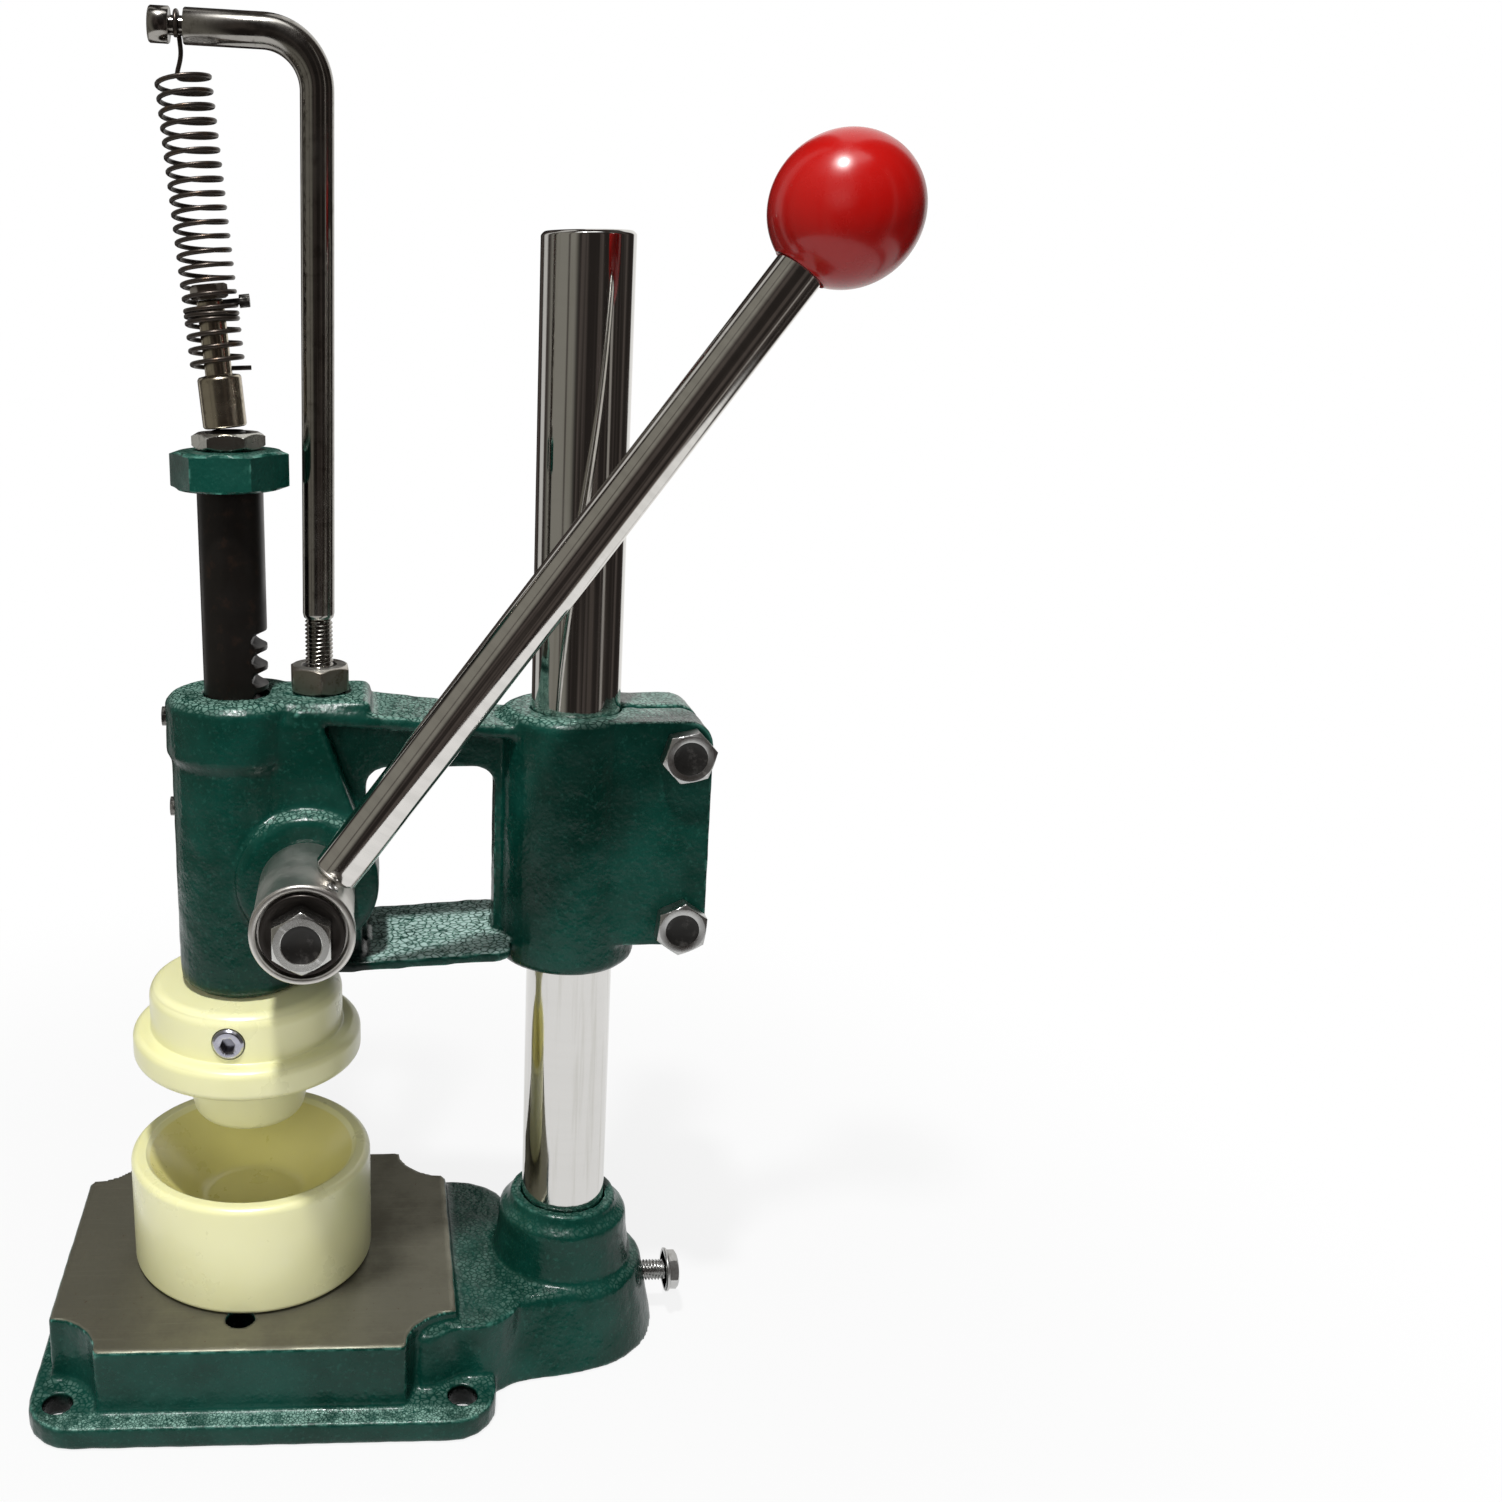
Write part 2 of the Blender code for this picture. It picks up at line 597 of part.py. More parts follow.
def make_base():
    """Table, foot, and the lobe with the column's socket, in one casting."""
    base = flat_outline(table_outline(), TABLE_TOP, at(0, 0, TABLE_TOP / 2))
    add_bevel(base, TABLE_EDGE_BEVEL)
    half = FOOT_DEPTH / 2
    foot_points = rounded_rectangle((-half, -FOOT_LEFT), (half, FOOT_RIGHT), FOOT_CORNER_RADIUS)
    foot = flat_outline(foot_points, FOOT_THICKNESS, at(0, 0, FOOT_THICKNESS / 2))
    link_low = (-LINK_HALF_DEPTH, 0)
    link_points = rounded_rectangle(link_low, (LINK_HALF_DEPTH, LINK_END), LINK_CORNER_RADIUS)
    link = flat_outline(link_points, LOBE_TOP, at(0, 0, LOBE_TOP / 2))
    lobe_profile = [
        (0, SOCKET_TOP),
        (COLUMN_DIAMETER / 2 + SOCKET_LIP, SOCKET_TOP),
        (SOCKET_RIM_RADIUS - SOCKET_LIP / 2, SOCKET_RIM_HEIGHT + SOCKET_LIP),
        (SOCKET_RIM_RADIUS, SOCKET_RIM_HEIGHT),
        (SOCKET_FOOT_RADIUS, LOBE_TOP),
        (LOBE_TOP_RADIUS - LOBE_EDGE_BEVEL, LOBE_TOP),
        (LOBE_TOP_RADIUS, LOBE_TOP - LOBE_EDGE_BEVEL),
        (LOBE_FOOT_RADIUS, 0),
        (0, 0),
    ]
    lobe = turned(lobe_profile, at(0, COLUMN_REACH), LARGE_FACETS)
    add_bevel(foot, FOOT_EDGE_BEVEL)
    add_bevel(link, LOBE_EDGE_BEVEL)
    join(base, [foot, link, lobe], BRANCHED_SOLVER)
    ear = half - EAR_HOLE_INSET
    holes = []
    for across in (-ear, ear):
        for along in (-FOOT_LEFT + EAR_HOLE_INSET_LEFT, FOOT_RIGHT - EAR_HOLE_INSET_RIGHT):
            through = FOOT_THICKNESS + OVERRUN
            place = at(across, along)
            holes.append(cylinder(EAR_HOLE_DIAMETER / 2, -OVERRUN, through, place, SMALL_FACETS))
    bore = COLUMN_DIAMETER / 2 + CLEARANCE
    holes.append(cylinder(bore, COLUMN_SEAT - CLEARANCE, SOCKET_TOP + OVERRUN, at(0, COLUMN_REACH)))
    bolt_hole = at(0, COLUMN_REACH, COLUMN_BOLT_HEIGHT) @ ALONG_Y
    bolt_bore = COLUMN_BOLT_RADIUS + CLEARANCE
    holes.append(cylinder(bolt_bore, 0, LOBE_FOOT_RADIUS + OVERRUN, bolt_hole, SMALL_FACETS))
    spigot_floor = TABLE_TOP - SPIGOT_DEPTH - CLEARANCE
    holes.append(cylinder(SPIGOT_RADIUS + CLEARANCE, spigot_floor, TABLE_TOP + OVERRUN))
    die_hole = at(DIE_HOLE_FRONT, -DIE_HOLE_LEFT)
    die_floor = TABLE_TOP - DIE_HOLE_DEPTH
    holes.append(cylinder(DIE_HOLE_DIAMETER / 2, die_floor, TABLE_TOP + OVERRUN, die_hole, SMALL_FACETS))
    cut(base, holes, BRANCHED_SOLVER)
    return as_part(base, "base_casting", "green_enamel")


def make_column():
    radius = COLUMN_DIAMETER / 2
    profile = [
        (0, COLUMN_TOP),
        (radius - COLUMN_CHAMFER, COLUMN_TOP),
        (radius, COLUMN_TOP - COLUMN_CHAMFER),
        (radius, COLUMN_SEAT),
        (0, COLUMN_SEAT),
    ]
    column = turned(profile, at(0, COLUMN_REACH))
    return as_part(column, "column", "chrome")


def make_column_bolt():
    """The flanged bolt through the socket's wall that pins the column."""
    lobe = LOBE_FOOT_RADIUS + (LOBE_TOP_RADIUS - LOBE_FOOT_RADIUS) * COLUMN_BOLT_HEIGHT / LOBE_TOP
    head = lobe + COLUMN_BOLT_PROUD
    length = head - COLUMN_DIAMETER / 2 - CLEARANCE
    place = at(0, COLUMN_REACH + head, COLUMN_BOLT_HEIGHT) @ ALONG_Y
    bolt = hex_bolt(COLUMN_BOLT_FLATS, COLUMN_BOLT_HEAD, COLUMN_BOLT_RADIUS, length, place, math.pi / 6)
    flange = cylinder(COLUMN_BOLT_FLANGE_RADIUS, 0, COLUMN_BOLT_FLANGE, place, SMALL_FACETS)
    join(bolt, [flange])
    return as_part(bolt, "column_bolt", "zinc_steel")


def make_die_cup():
    """The lower die: a bowl with sloping sides and a locating spigot below."""
    profile = [
        (0, CUP_FLOOR_HEIGHT),
        (CUP_FLOOR_RADIUS - CUP_FILLET, CUP_FLOOR_HEIGHT),
        (CUP_FLOOR_RADIUS, CUP_FLOOR_HEIGHT + CUP_FILLET / 2),
        (CUP_MOUTH_RADIUS, CUP_RIM_HEIGHT - CUP_EDGE / 2),
        (CUP_MOUTH_RADIUS + CUP_EDGE / 2, CUP_RIM_HEIGHT),
        (CUP_RADIUS - CUP_EDGE, CUP_RIM_HEIGHT),
        (CUP_RADIUS, CUP_RIM_HEIGHT - CUP_EDGE),
        (CUP_RADIUS, CUP_SEAT + CUP_EDGE),
        (CUP_RADIUS - CUP_EDGE, CUP_SEAT),
        (SPIGOT_RADIUS, CUP_SEAT),
        (SPIGOT_RADIUS, CUP_SEAT - SPIGOT_DEPTH),
        (0, CUP_SEAT - SPIGOT_DEPTH),
    ]
    cup = turned(profile, facets=LARGE_FACETS)
    return as_part(cup, "die_cup", "ivory_plastic")


def sloping_plate(points, thickness, start, end):
    """A plan outline whose top face runs between two (along, height) places."""
    slope = math.atan2(end[1] - start[1], end[0] - start[0])
    turn = Matrix.Rotation(slope, 4, "X")
    place = at(0, *start) @ turn @ at(0, -start[0], -thickness / 2)
    return flat_outline(points, thickness, place)


def make_arms():
    """The flanged bridge above the window, the shelf below it and their web."""
    near_sleeve = SLEEVE_CENTRE - SLEEVE_RADIUS
    bridge_points = [
        (BLOCK_HALF_DEPTH, ARMS_START),
        (BRIDGE_HALF_DEPTH_AT_SLEEVE, SLEEVE_CENTRE),
        (-BRIDGE_HALF_DEPTH_AT_SLEEVE, SLEEVE_CENTRE),
        (-BLOCK_HALF_DEPTH, ARMS_START),
    ]
    bridge_start = (ARMS_START, BRIDGE_TOP)
    bridge_end = (near_sleeve, BRIDGE_TOP_AT_SLEEVE)
    bridge = sloping_plate(bridge_points, BRIDGE_THICKNESS, bridge_start, bridge_end)
    shelf_low = (-SHELF_HALF_DEPTH, ARMS_START)
    shelf_points = rounded_rectangle(shelf_low, (SHELF_HALF_DEPTH, SHELF_END), SHELF_CORNER_RADIUS)
    shelf_start = (ARMS_START, SHELF_TOP)
    shelf_end = (SHELF_END, SHELF_TOP_AT_SLEEVE)
    shelf = sloping_plate(shelf_points, SHELF_THICKNESS, shelf_start, shelf_end)
    web_points = [
        (ARMS_START, SHELF_TOP - SHELF_THICKNESS / 2),
        (SLEEVE_CENTRE, SHELF_TOP_AT_SLEEVE - SHELF_THICKNESS / 2),
        (SLEEVE_CENTRE, BRIDGE_TOP_AT_SLEEVE - BRIDGE_THICKNESS),
        (near_sleeve, BRIDGE_TOP_AT_SLEEVE - BRIDGE_THICKNESS / 2),
        (ARMS_START, BRIDGE_TOP - BRIDGE_THICKNESS / 2),
    ]
    web = flat_outline(web_points, 2 * WEB_HALF_DEPTH, FLAT_IN_YZ)
    window_low = (WINDOW_START, BLOCK_BOTTOM - OVERRUN)
    window_points = rounded_rectangle(window_low, (WINDOW_END, WINDOW_TOP), WINDOW_CORNER_RADIUS)
    window = flat_outline(window_points, 2 * WEB_HALF_DEPTH + OVERRUN, FLAT_IN_YZ)
    cut(web, [window], BRANCHED_SOLVER)
    add_bevel(bridge, CAST_BEVEL)
    add_bevel(shelf, SHELF_THICKNESS / 3)
    return [web, bridge, shelf]


def head_solids():
    """The shapes that are joined to the housing, in the order of joining."""
    pinion = at(0, PINION_OFFSET, PINION_HEIGHT)
    boss_profile = [
        (0, BOSS_HALF_LENGTH),
        (BOSS_RADIUS - BOSS_EDGE, BOSS_HALF_LENGTH),
        (BOSS_RADIUS, BOSS_HALF_LENGTH - BOSS_EDGE),
        (BOSS_RADIUS, BOSS_EDGE - BOSS_HALF_LENGTH),
        (BOSS_RADIUS - BOSS_EDGE, -BOSS_HALF_LENGTH),
        (0, -BOSS_HALF_LENGTH),
    ]
    sleeve_profile = [
        (0, SLEEVE_TOP),
        (SLEEVE_RADIUS - SLEEVE_EDGE, SLEEVE_TOP),
        (SLEEVE_RADIUS, SLEEVE_TOP - SLEEVE_EDGE),
        (SLEEVE_RADIUS, SLEEVE_BOTTOM + SLEEVE_EDGE),
        (SLEEVE_RADIUS - SLEEVE_EDGE, SLEEVE_BOTTOM),
        (0, SLEEVE_BOTTOM),
    ]
    block_points = [
        (0, BLOCK_TOP),
        (0, BLOCK_BOTTOM),
        (BLOCK_END, BLOCK_BOTTOM),
        (BLOCK_END, BLOCK_SLANT_START),
        (BLOCK_TOP_END, BLOCK_TOP),
    ]
    block = flat_outline(block_points, 2 * BLOCK_HALF_DEPTH, FLAT_IN_YZ)
    add_bevel(block, CAST_BEVEL)
    clamp_low = (SLEEVE_CENTRE, CLAMP_BOTTOM)
    clamp_high = (SLEEVE_CENTRE + CLAMP_REACH + SLEEVE_OFFSET, CLAMP_TOP)
    clamp_points = rounded_rectangle(clamp_low, clamp_high, CLAMP_CORNER_RADIUS)
    clamp = flat_outline(clamp_points, 2 * CLAMP_HALF_DEPTH, FLAT_IN_YZ)
    add_bevel(clamp, CAST_BEVEL)
    pad = box((-PAD_HALF_DEPTH, 0, PAD_BOTTOM), (PAD_HALF_DEPTH, PAD_END, HEAD_TOP), CAST_BEVEL)
    boss = turned(boss_profile, pinion @ ALONG_X, LARGE_FACETS)
    sleeve = turned(sleeve_profile, at(0, SLEEVE_CENTRE), LARGE_FACETS)
    return [block, *make_arms(), pad, boss, clamp, sleeve]


def head_hollows():
    """Bores, the pinion's chamber, the clamp's slot and the screw holes."""
    pinion = at(0, PINION_OFFSET, PINION_HEIGHT) @ ALONG_X
    column = at(0, COLUMN_REACH)
    past_boss = BOSS_HALF_LENGTH + OVERRUN
    hollows = [
        cylinder(RAM_RADIUS + CLEARANCE, HOUSING_BOTTOM - OVERRUN, HEAD_TOP + OVERRUN),
        cylinder(COLUMN_DIAMETER / 2 + CLEARANCE, SLEEVE_BOTTOM - OVERRUN, HEAD_TOP, column),
        cylinder(CHAMBER_RADIUS, -past_boss, PINION_HALF_WIDTH + CLEARANCE, pinion, LARGE_FACETS),
        cylinder(SHAFT_RADIUS + CLEARANCE, 0, past_boss, pinion),
        box(
            (-CLAMP_SLOT / 2, COLUMN_REACH, SLEEVE_BOTTOM - OVERRUN),
            (CLAMP_SLOT / 2, COLUMN_REACH + CLAMP_REACH + OVERRUN, HEAD_TOP),
        ),
    ]
    past_clamp = CLAMP_HALF_DEPTH + OVERRUN
    for height in CLAMP_BOLT_HEIGHTS.values():
        place = at(0, COLUMN_REACH + CLAMP_BOLT_OUT, height) @ ALONG_X
        hollows.append(cylinder(BOLT_RADIUS + CLEARANCE, -past_clamp, past_clamp, place, SMALL_FACETS))
    for height in GUIDE_SCREW_HEIGHTS.values():
        place = at(0, 0, height) @ ALONG_Y
        reach = -COLLAR_RADIUS - OVERRUN
        hollows.append(cylinder(GUIDE_SCREW_RADIUS + CLEARANCE, reach, 0, place, SMALL_FACETS))
    arm_hole = at(0, ARM_FOOT)
    arm_floor = ARM_FOOT_BOTTOM - CLEARANCE
    arm_bore = ARM_THREAD_RADIUS + CLEARANCE
    hollows.append(cylinder(arm_bore, arm_floor, HEAD_TOP + OVERRUN, arm_hole, SMALL_FACETS))
    screw = at(bushing_middle(), PINION_OFFSET, PINION_HEIGHT)
    screw_bore = BUSHING_SCREW_RADIUS + CLEARANCE
    screw_reach = BOSS_RADIUS + OVERRUN
    hollows.append(cylinder(screw_bore, -screw_reach, -SHAFT_RADIUS, screw, SMALL_FACETS))
    return hollows


def bushing_middle():
    return BUSHING_WIDTH / 2 - BOSS_HALF_LENGTH


def make_head():
    profile = [
        (0, HEAD_TOP),
        (COLLAR_RADIUS - HOUSING_EDGE, HEAD_TOP),
        (COLLAR_RADIUS, HEAD_TOP - HOUSING_EDGE),
        (COLLAR_RADIUS, COLLAR_BOTTOM),
        (HOUSING_RADIUS, COLLAR_BOTTOM - COLLAR_STEP),
        (HOUSING_RADIUS, HOUSING_BOTTOM + HOUSING_EDGE),
        (HOUSING_RADIUS - HOUSING_EDGE, HOUSING_BOTTOM),
        (0, HOUSING_BOTTOM),
    ]
    head = turned(profile, facets=LARGE_FACETS)
    join(head, head_solids(), BRANCHED_SOLVER)
    cut(head, head_hollows(), BRANCHED_SOLVER)
    return as_part(head, "head_casting", "green_enamel")


def make_clamp_bolts():
    """Two bolts across the sleeve's slot, each with a nut at the back."""
    pieces = []
    length = 2 * CLAMP_HALF_DEPTH + BOLT_NUT + 2 * CLEARANCE
    for which, height in CLAMP_BOLT_HEIGHTS.items():
        turn = CLAMP_BOLT_TURNS[which]
        along = COLUMN_REACH + CLAMP_BOLT_OUT
        front = at(CLAMP_HALF_DEPTH + CLEARANCE, along, height) @ ALONG_X
        back = at(-CLAMP_HALF_DEPTH - CLEARANCE - BOLT_NUT, along, height) @ ALONG_X
        bolt = hex_bolt(BOLT_FLATS, BOLT_HEAD, BOLT_RADIUS, length, front, turn)
        nut = hex_nut(BOLT_FLATS, BOLT_NUT, BOLT_RADIUS + CLEARANCE, back, turn)
        pieces.append(as_part(bolt, "clamp_bolt_" + which, "zinc_steel"))
        pieces.append(as_part(nut, "clamp_nut_" + which, "zinc_steel"))
    return pieces


def make_guide_screws():
    """Socket screws in the housing's wall that guide the ram."""
    pieces = []
    outer = {"upper": COLLAR_RADIUS, "lower": HOUSING_RADIUS}
    for which, height in GUIDE_SCREW_HEIGHTS.items():
        end = outer[which] + GUIDE_SCREW_PROUD
        place = at(0, 0, height) @ ALONG_Y @ Matrix.Rotation(math.pi, 4, "X")
        screw = cylinder(GUIDE_SCREW_RADIUS, RAM_RADIUS + CLEARANCE, end, place, SMALL_FACETS)
        socket = hexagon(GUIDE_SCREW_RADIUS, end - GUIDE_SCREW_SOCKET_DEPTH, end + OVERRUN, place)
        cut(screw, [socket])
        pieces.append(as_part(screw, "guide_screw_" + which, "black_steel"))
    return pieces


def make_bushing():
    """The bearing that closes the pinion's chamber at the back, and its screw."""
    pinion = at(0, PINION_OFFSET, PINION_HEIGHT) @ ALONG_X
    bushing = cylinder(BUSHING_RADIUS, -BOSS_HALF_LENGTH, BUSHING_WIDTH - BOSS_HALF_LENGTH, pinion)
    bore = cylinder(SHAFT_RADIUS + CLEARANCE, -BOSS_HALF_LENGTH - OVERRUN, 0, pinion)
    cut(bushing, [bore])
    screw_place = at(bushing_middle(), PINION_OFFSET, PINION_HEIGHT)
    screw_end = -BUSHING_RADIUS - CLEARANCE
    screw = cylinder(BUSHING_SCREW_RADIUS, -BOSS_RADIUS, screw_end, screw_place, SMALL_FACETS)
    return [
        as_part(bushing, "pinion_bushing", "bronze"),
        as_part(screw, "bushing_screw", "black_steel"),
    ]


def make_pinion_shaft():
    """The pinion and its shaft in one piece, with a tapped end for the bolt."""
    place = at(0, PINION_OFFSET, PINION_HEIGHT)
    shaft = flat_outline(pinion_outline(), 2 * PINION_HALF_WIDTH, place @ FLAT_IN_YZ)
    end = HUB_END - HUB_RECESS_DEPTH - CLEARANCE
    along = place @ ALONG_X
    bar = cylinder(SHAFT_RADIUS, -SHAFT_BACK, end, along)
    bolt_bore = HUB_BOLT_RADIUS + CLEARANCE
    bolt_hole = cylinder(bolt_bore, end - HUB_BOLT_LENGTH, end + OVERRUN, along, SMALL_FACETS)
    join(shaft, [bar])
    cut(shaft, [bolt_hole])
    return as_part(shaft, "pinion_shaft", "turned_steel")


def make_lever():
    """Hub, washer, bolt, screw, rod and ball, turning with the shaft."""
    place = at(0, PINION_OFFSET, PINION_HEIGHT)
    along = place @ ALONG_X
    recess_floor = HUB_END - HUB_RECESS_DEPTH
    rim_start = HUB_END - HUB_RIM_LENGTH
    hub_start = BOSS_HALF_LENGTH + CLEARANCE
    hub_profile = [
        (0, recess_floor),
        (HUB_RECESS_RADIUS, recess_floor),
        (HUB_RECESS_RADIUS, HUB_END),
        (HUB_RIM_RADIUS - HUB_EDGE, HUB_END),
        (HUB_RIM_RADIUS, HUB_END - HUB_EDGE),
        (HUB_RIM_RADIUS, rim_start + HUB_EDGE),
        (HUB_RADIUS, rim_start),
        (HUB_RADIUS, hub_start),
        (0, hub_start),
    ]
    hub = turned(hub_profile, along)
    lean = Vector((0, 0, 1)).rotation_difference(LEVER_DIRECTION).to_matrix().to_4x4()
    rod_place = at(LEVER_FORWARD, PINION_OFFSET, PINION_HEIGHT) @ lean
    grub_place = at(GRUB_FORWARD, PINION_OFFSET, PINION_HEIGHT) @ lean
    hub_past = HUB_RADIUS + OVERRUN
    cut(hub, [
        cylinder(SHAFT_RADIUS + CLEARANCE, hub_start - OVERRUN, HUB_END, along),
        cylinder(LEVER_STUD_RADIUS + CLEARANCE, 0, hub_past, rod_place, SMALL_FACETS),
        cylinder(GRUB_RADIUS + CLEARANCE, 0, hub_past, grub_place, SMALL_FACETS),
    ], BRANCHED_SOLVER)
    washer_start = recess_floor + CLEARANCE
    washer_end = washer_start + WASHER_THICKNESS
    washer = cylinder(WASHER_RADIUS, washer_start, washer_end, along)
    cut(washer, [cylinder(HUB_BOLT_RADIUS + CLEARANCE, recess_floor, HUB_END, along, SMALL_FACETS)])
    bolt_seat = at(washer_end + CLEARANCE, PINION_OFFSET, PINION_HEIGHT) @ ALONG_X
    bolt = hex_bolt(HUB_BOLT_FLATS, HUB_BOLT_HEAD, HUB_BOLT_RADIUS, HUB_BOLT_LENGTH, bolt_seat, math.pi / 6)
    grub_end = HUB_RADIUS + GRUB_PROUD
    grub = cylinder(GRUB_RADIUS, grub_end - GRUB_LENGTH, grub_end, grub_place, SMALL_FACETS)
    rod_end = LEVER_LENGTH - BALL_RADIUS + BALL_SOCKET_DEPTH - CLEARANCE
    rod_profile = [
        (0, rod_end),
        (LEVER_ROD_RADIUS - LEVER_ROD_CHAMFER, rod_end),
        (LEVER_ROD_RADIUS, rod_end - LEVER_ROD_CHAMFER),
        (LEVER_ROD_RADIUS, LEVER_ROD_SEAT + LEVER_ROD_CHAMFER),
        (LEVER_ROD_RADIUS - LEVER_ROD_CHAMFER, LEVER_ROD_SEAT),
        (LEVER_STUD_RADIUS, LEVER_ROD_SEAT),
        (LEVER_STUD_RADIUS, LEVER_STUD_END),
        (0, LEVER_STUD_END),
    ]
    rod = turned(rod_profile, rod_place)
    ball_place = rod_place @ at(0, 0, LEVER_LENGTH)
    bpy.ops.mesh.primitive_uv_sphere_add(segments=ROUND_FACETS, ring_count=SMALL_FACETS, radius=BALL_RADIUS)
    ball = as_cutter(bpy.context.object)
    ball.matrix_world = ball_place
    ball.data.shade_smooth()
    socket_floor = BALL_SOCKET_DEPTH - BALL_RADIUS
    socket = cylinder(LEVER_ROD_RADIUS + CLEARANCE, -BALL_RADIUS - OVERRUN, socket_floor, ball_place)
    cut(ball, [socket])
    return [
        as_part(hub, "lever_hub", "turned_steel"),
        as_part(washer, "hub_washer", "black_steel"),
        as_part(bolt, "hub_bolt", "zinc_steel"),
        as_part(grub, "hub_grub_screw", "zinc_steel"),
        as_part(rod, "lever_rod", "chrome"),
        as_part(ball, "ball_knob", "red_plastic"),
    ]


def make_back_collar():
    """The collar that keeps the shaft from sliding forward, and its screw."""
    place = at(0, PINION_OFFSET, PINION_HEIGHT) @ ALONG_X
    front = -BOSS_HALF_LENGTH - CLEARANCE
    back = front - BACK_COLLAR_WIDTH
    collar = cylinder(BACK_COLLAR_RADIUS, back, front, place)
    bore = cylinder(SHAFT_RADIUS + CLEARANCE, back - OVERRUN, front + OVERRUN, place)
    middle = at((front + back) / 2, PINION_OFFSET, PINION_HEIGHT)
    screw_bore = BACK_SCREW_RADIUS + CLEARANCE
    screw_hole = cylinder(screw_bore, 0, BACK_COLLAR_RADIUS + OVERRUN, middle, SMALL_FACETS)
    cut(collar, [bore, screw_hole])
    screw = cylinder(BACK_SCREW_RADIUS, SHAFT_RADIUS + CLEARANCE, BACK_COLLAR_RADIUS, middle, SMALL_FACETS)
    return [
        as_part(collar, "shaft_collar", "zinc_steel"),
        as_part(screw, "collar_screw", "black_steel"),
    ]


def make_ram():
    """The round ram, with rack teeth cut on the pinion's side."""
    profile = [
        (0, RAM_STUD_TOP),
        (RAM_STUD_RADIUS, RAM_STUD_TOP),
        (RAM_STUD_RADIUS, RAM_TOP),
        (RAM_RADIUS - RAM_CHAMFER, RAM_TOP),
        (RAM_RADIUS, RAM_TOP - RAM_CHAMFER),
        (RAM_RADIUS, PUNCH_TOP + CLEARANCE),
        (PUNCH_STEM_RADIUS, PUNCH_TOP + CLEARANCE),
        (PUNCH_STEM_RADIUS, PUNCH_STEM_BOTTOM),
        (0, PUNCH_STEM_BOTTOM),
    ]
    ram = turned(profile)
    cut(ram, [rack_slots()])
    return as_part(ram, "ram", "black_steel")


def make_ram_nuts():
    stop_place = at(0, 0, STOP_NUT_BOTTOM)
    stop = hexagon(STOP_NUT_FLATS, 0, STOP_NUT_HEIGHT, stop_place, STOP_NUT_TURN)
    bore = cylinder(RAM_RADIUS + CLEARANCE, -OVERRUN, STOP_NUT_HEIGHT + OVERRUN, stop_place)
    add_bevel(stop, NUT_EDGE)
    cut(stop, [bore])
    lock_place = at(0, 0, STOP_NUT_TOP + CLEARANCE)
    lock = hex_nut(LOCK_NUT_FLATS, LOCK_NUT_HEIGHT, RAM_STUD_RADIUS + CLEARANCE, lock_place)
    return [
        as_part(stop, "stop_nut", "green_enamel"),
        as_part(lock, "lock_nut", "zinc_steel"),
    ]


def make_punch():
    """The upper die: body, wide flange and the nose that enters the cup."""
    nose_top = PUNCH_FLANGE_BOTTOM
    profile = [
        (0, PUNCH_TOP),
        (PUNCH_BODY_RADIUS - PUNCH_BODY_EDGE, PUNCH_TOP),
        (PUNCH_BODY_RADIUS, PUNCH_TOP - PUNCH_BODY_EDGE / 2),
        (PUNCH_BODY_RADIUS, PUNCH_LEDGE_HEIGHT),
        (PUNCH_FLANGE_RADIUS - PUNCH_FLANGE_EDGE, PUNCH_LEDGE_HEIGHT),
        (PUNCH_FLANGE_RADIUS, PUNCH_LEDGE_HEIGHT - PUNCH_FLANGE_EDGE),
        (PUNCH_FLANGE_RADIUS, PUNCH_FLANGE_BOTTOM + PUNCH_FLANGE_EDGE),
        (PUNCH_FLANGE_RADIUS - PUNCH_FLANGE_EDGE, PUNCH_FLANGE_BOTTOM),
        (PUNCH_NOSE_TOP_RADIUS, nose_top),
        (PUNCH_NOSE_RADIUS, PUNCH_NOSE_BOTTOM + PUNCH_NOSE_EDGE),
        (PUNCH_NOSE_RADIUS - PUNCH_NOSE_EDGE, PUNCH_NOSE_BOTTOM),
        (0, PUNCH_NOSE_BOTTOM),
    ]
    punch = turned(profile, facets=LARGE_FACETS)
    stem_bore = PUNCH_STEM_RADIUS + CLEARANCE
    bore = cylinder(stem_bore, PUNCH_STEM_BOTTOM - CLEARANCE, PUNCH_TOP + OVERRUN)
    aim = Matrix.Rotation(PUNCH_SCREW_TURN, 4, "Z") @ at(0, 0, PUNCH_SCREW_HEIGHT) @ ALONG_X
    head_end = PUNCH_BODY_RADIUS + PUNCH_SCREW_PROUD
    head_start = head_end - PUNCH_SCREW_HEAD_LENGTH
    past = head_end + OVERRUN
    counterbore_radius = PUNCH_SCREW_HEAD_RADIUS + CLEARANCE
    counterbore = cylinder(counterbore_radius, head_start - CLEARANCE, past, aim, SMALL_FACETS)
    hole = cylinder(PUNCH_SCREW_RADIUS + CLEARANCE, 0, past, aim, SMALL_FACETS)
    cut(punch, [bore, counterbore, hole])
    screw = cylinder(PUNCH_SCREW_HEAD_RADIUS, head_start, head_end, aim, SMALL_FACETS)
    shank_start = PUNCH_STEM_RADIUS + CLEARANCE
    shank_end = (head_start + head_end) / 2
    shank = cylinder(PUNCH_SCREW_RADIUS, shank_start, shank_end, aim, SMALL_FACETS)
    socket = hexagon(PUNCH_SCREW_SOCKET_FLATS, head_end - PUNCH_SCREW_SOCKET_DEPTH, past, aim)
    join(screw, [shank])
    cut(screw, [socket])
    return [
        as_part(punch, "punch", "ivory_plastic"),
        as_part(screw, "punch_screw", "zinc_steel"),
    ]


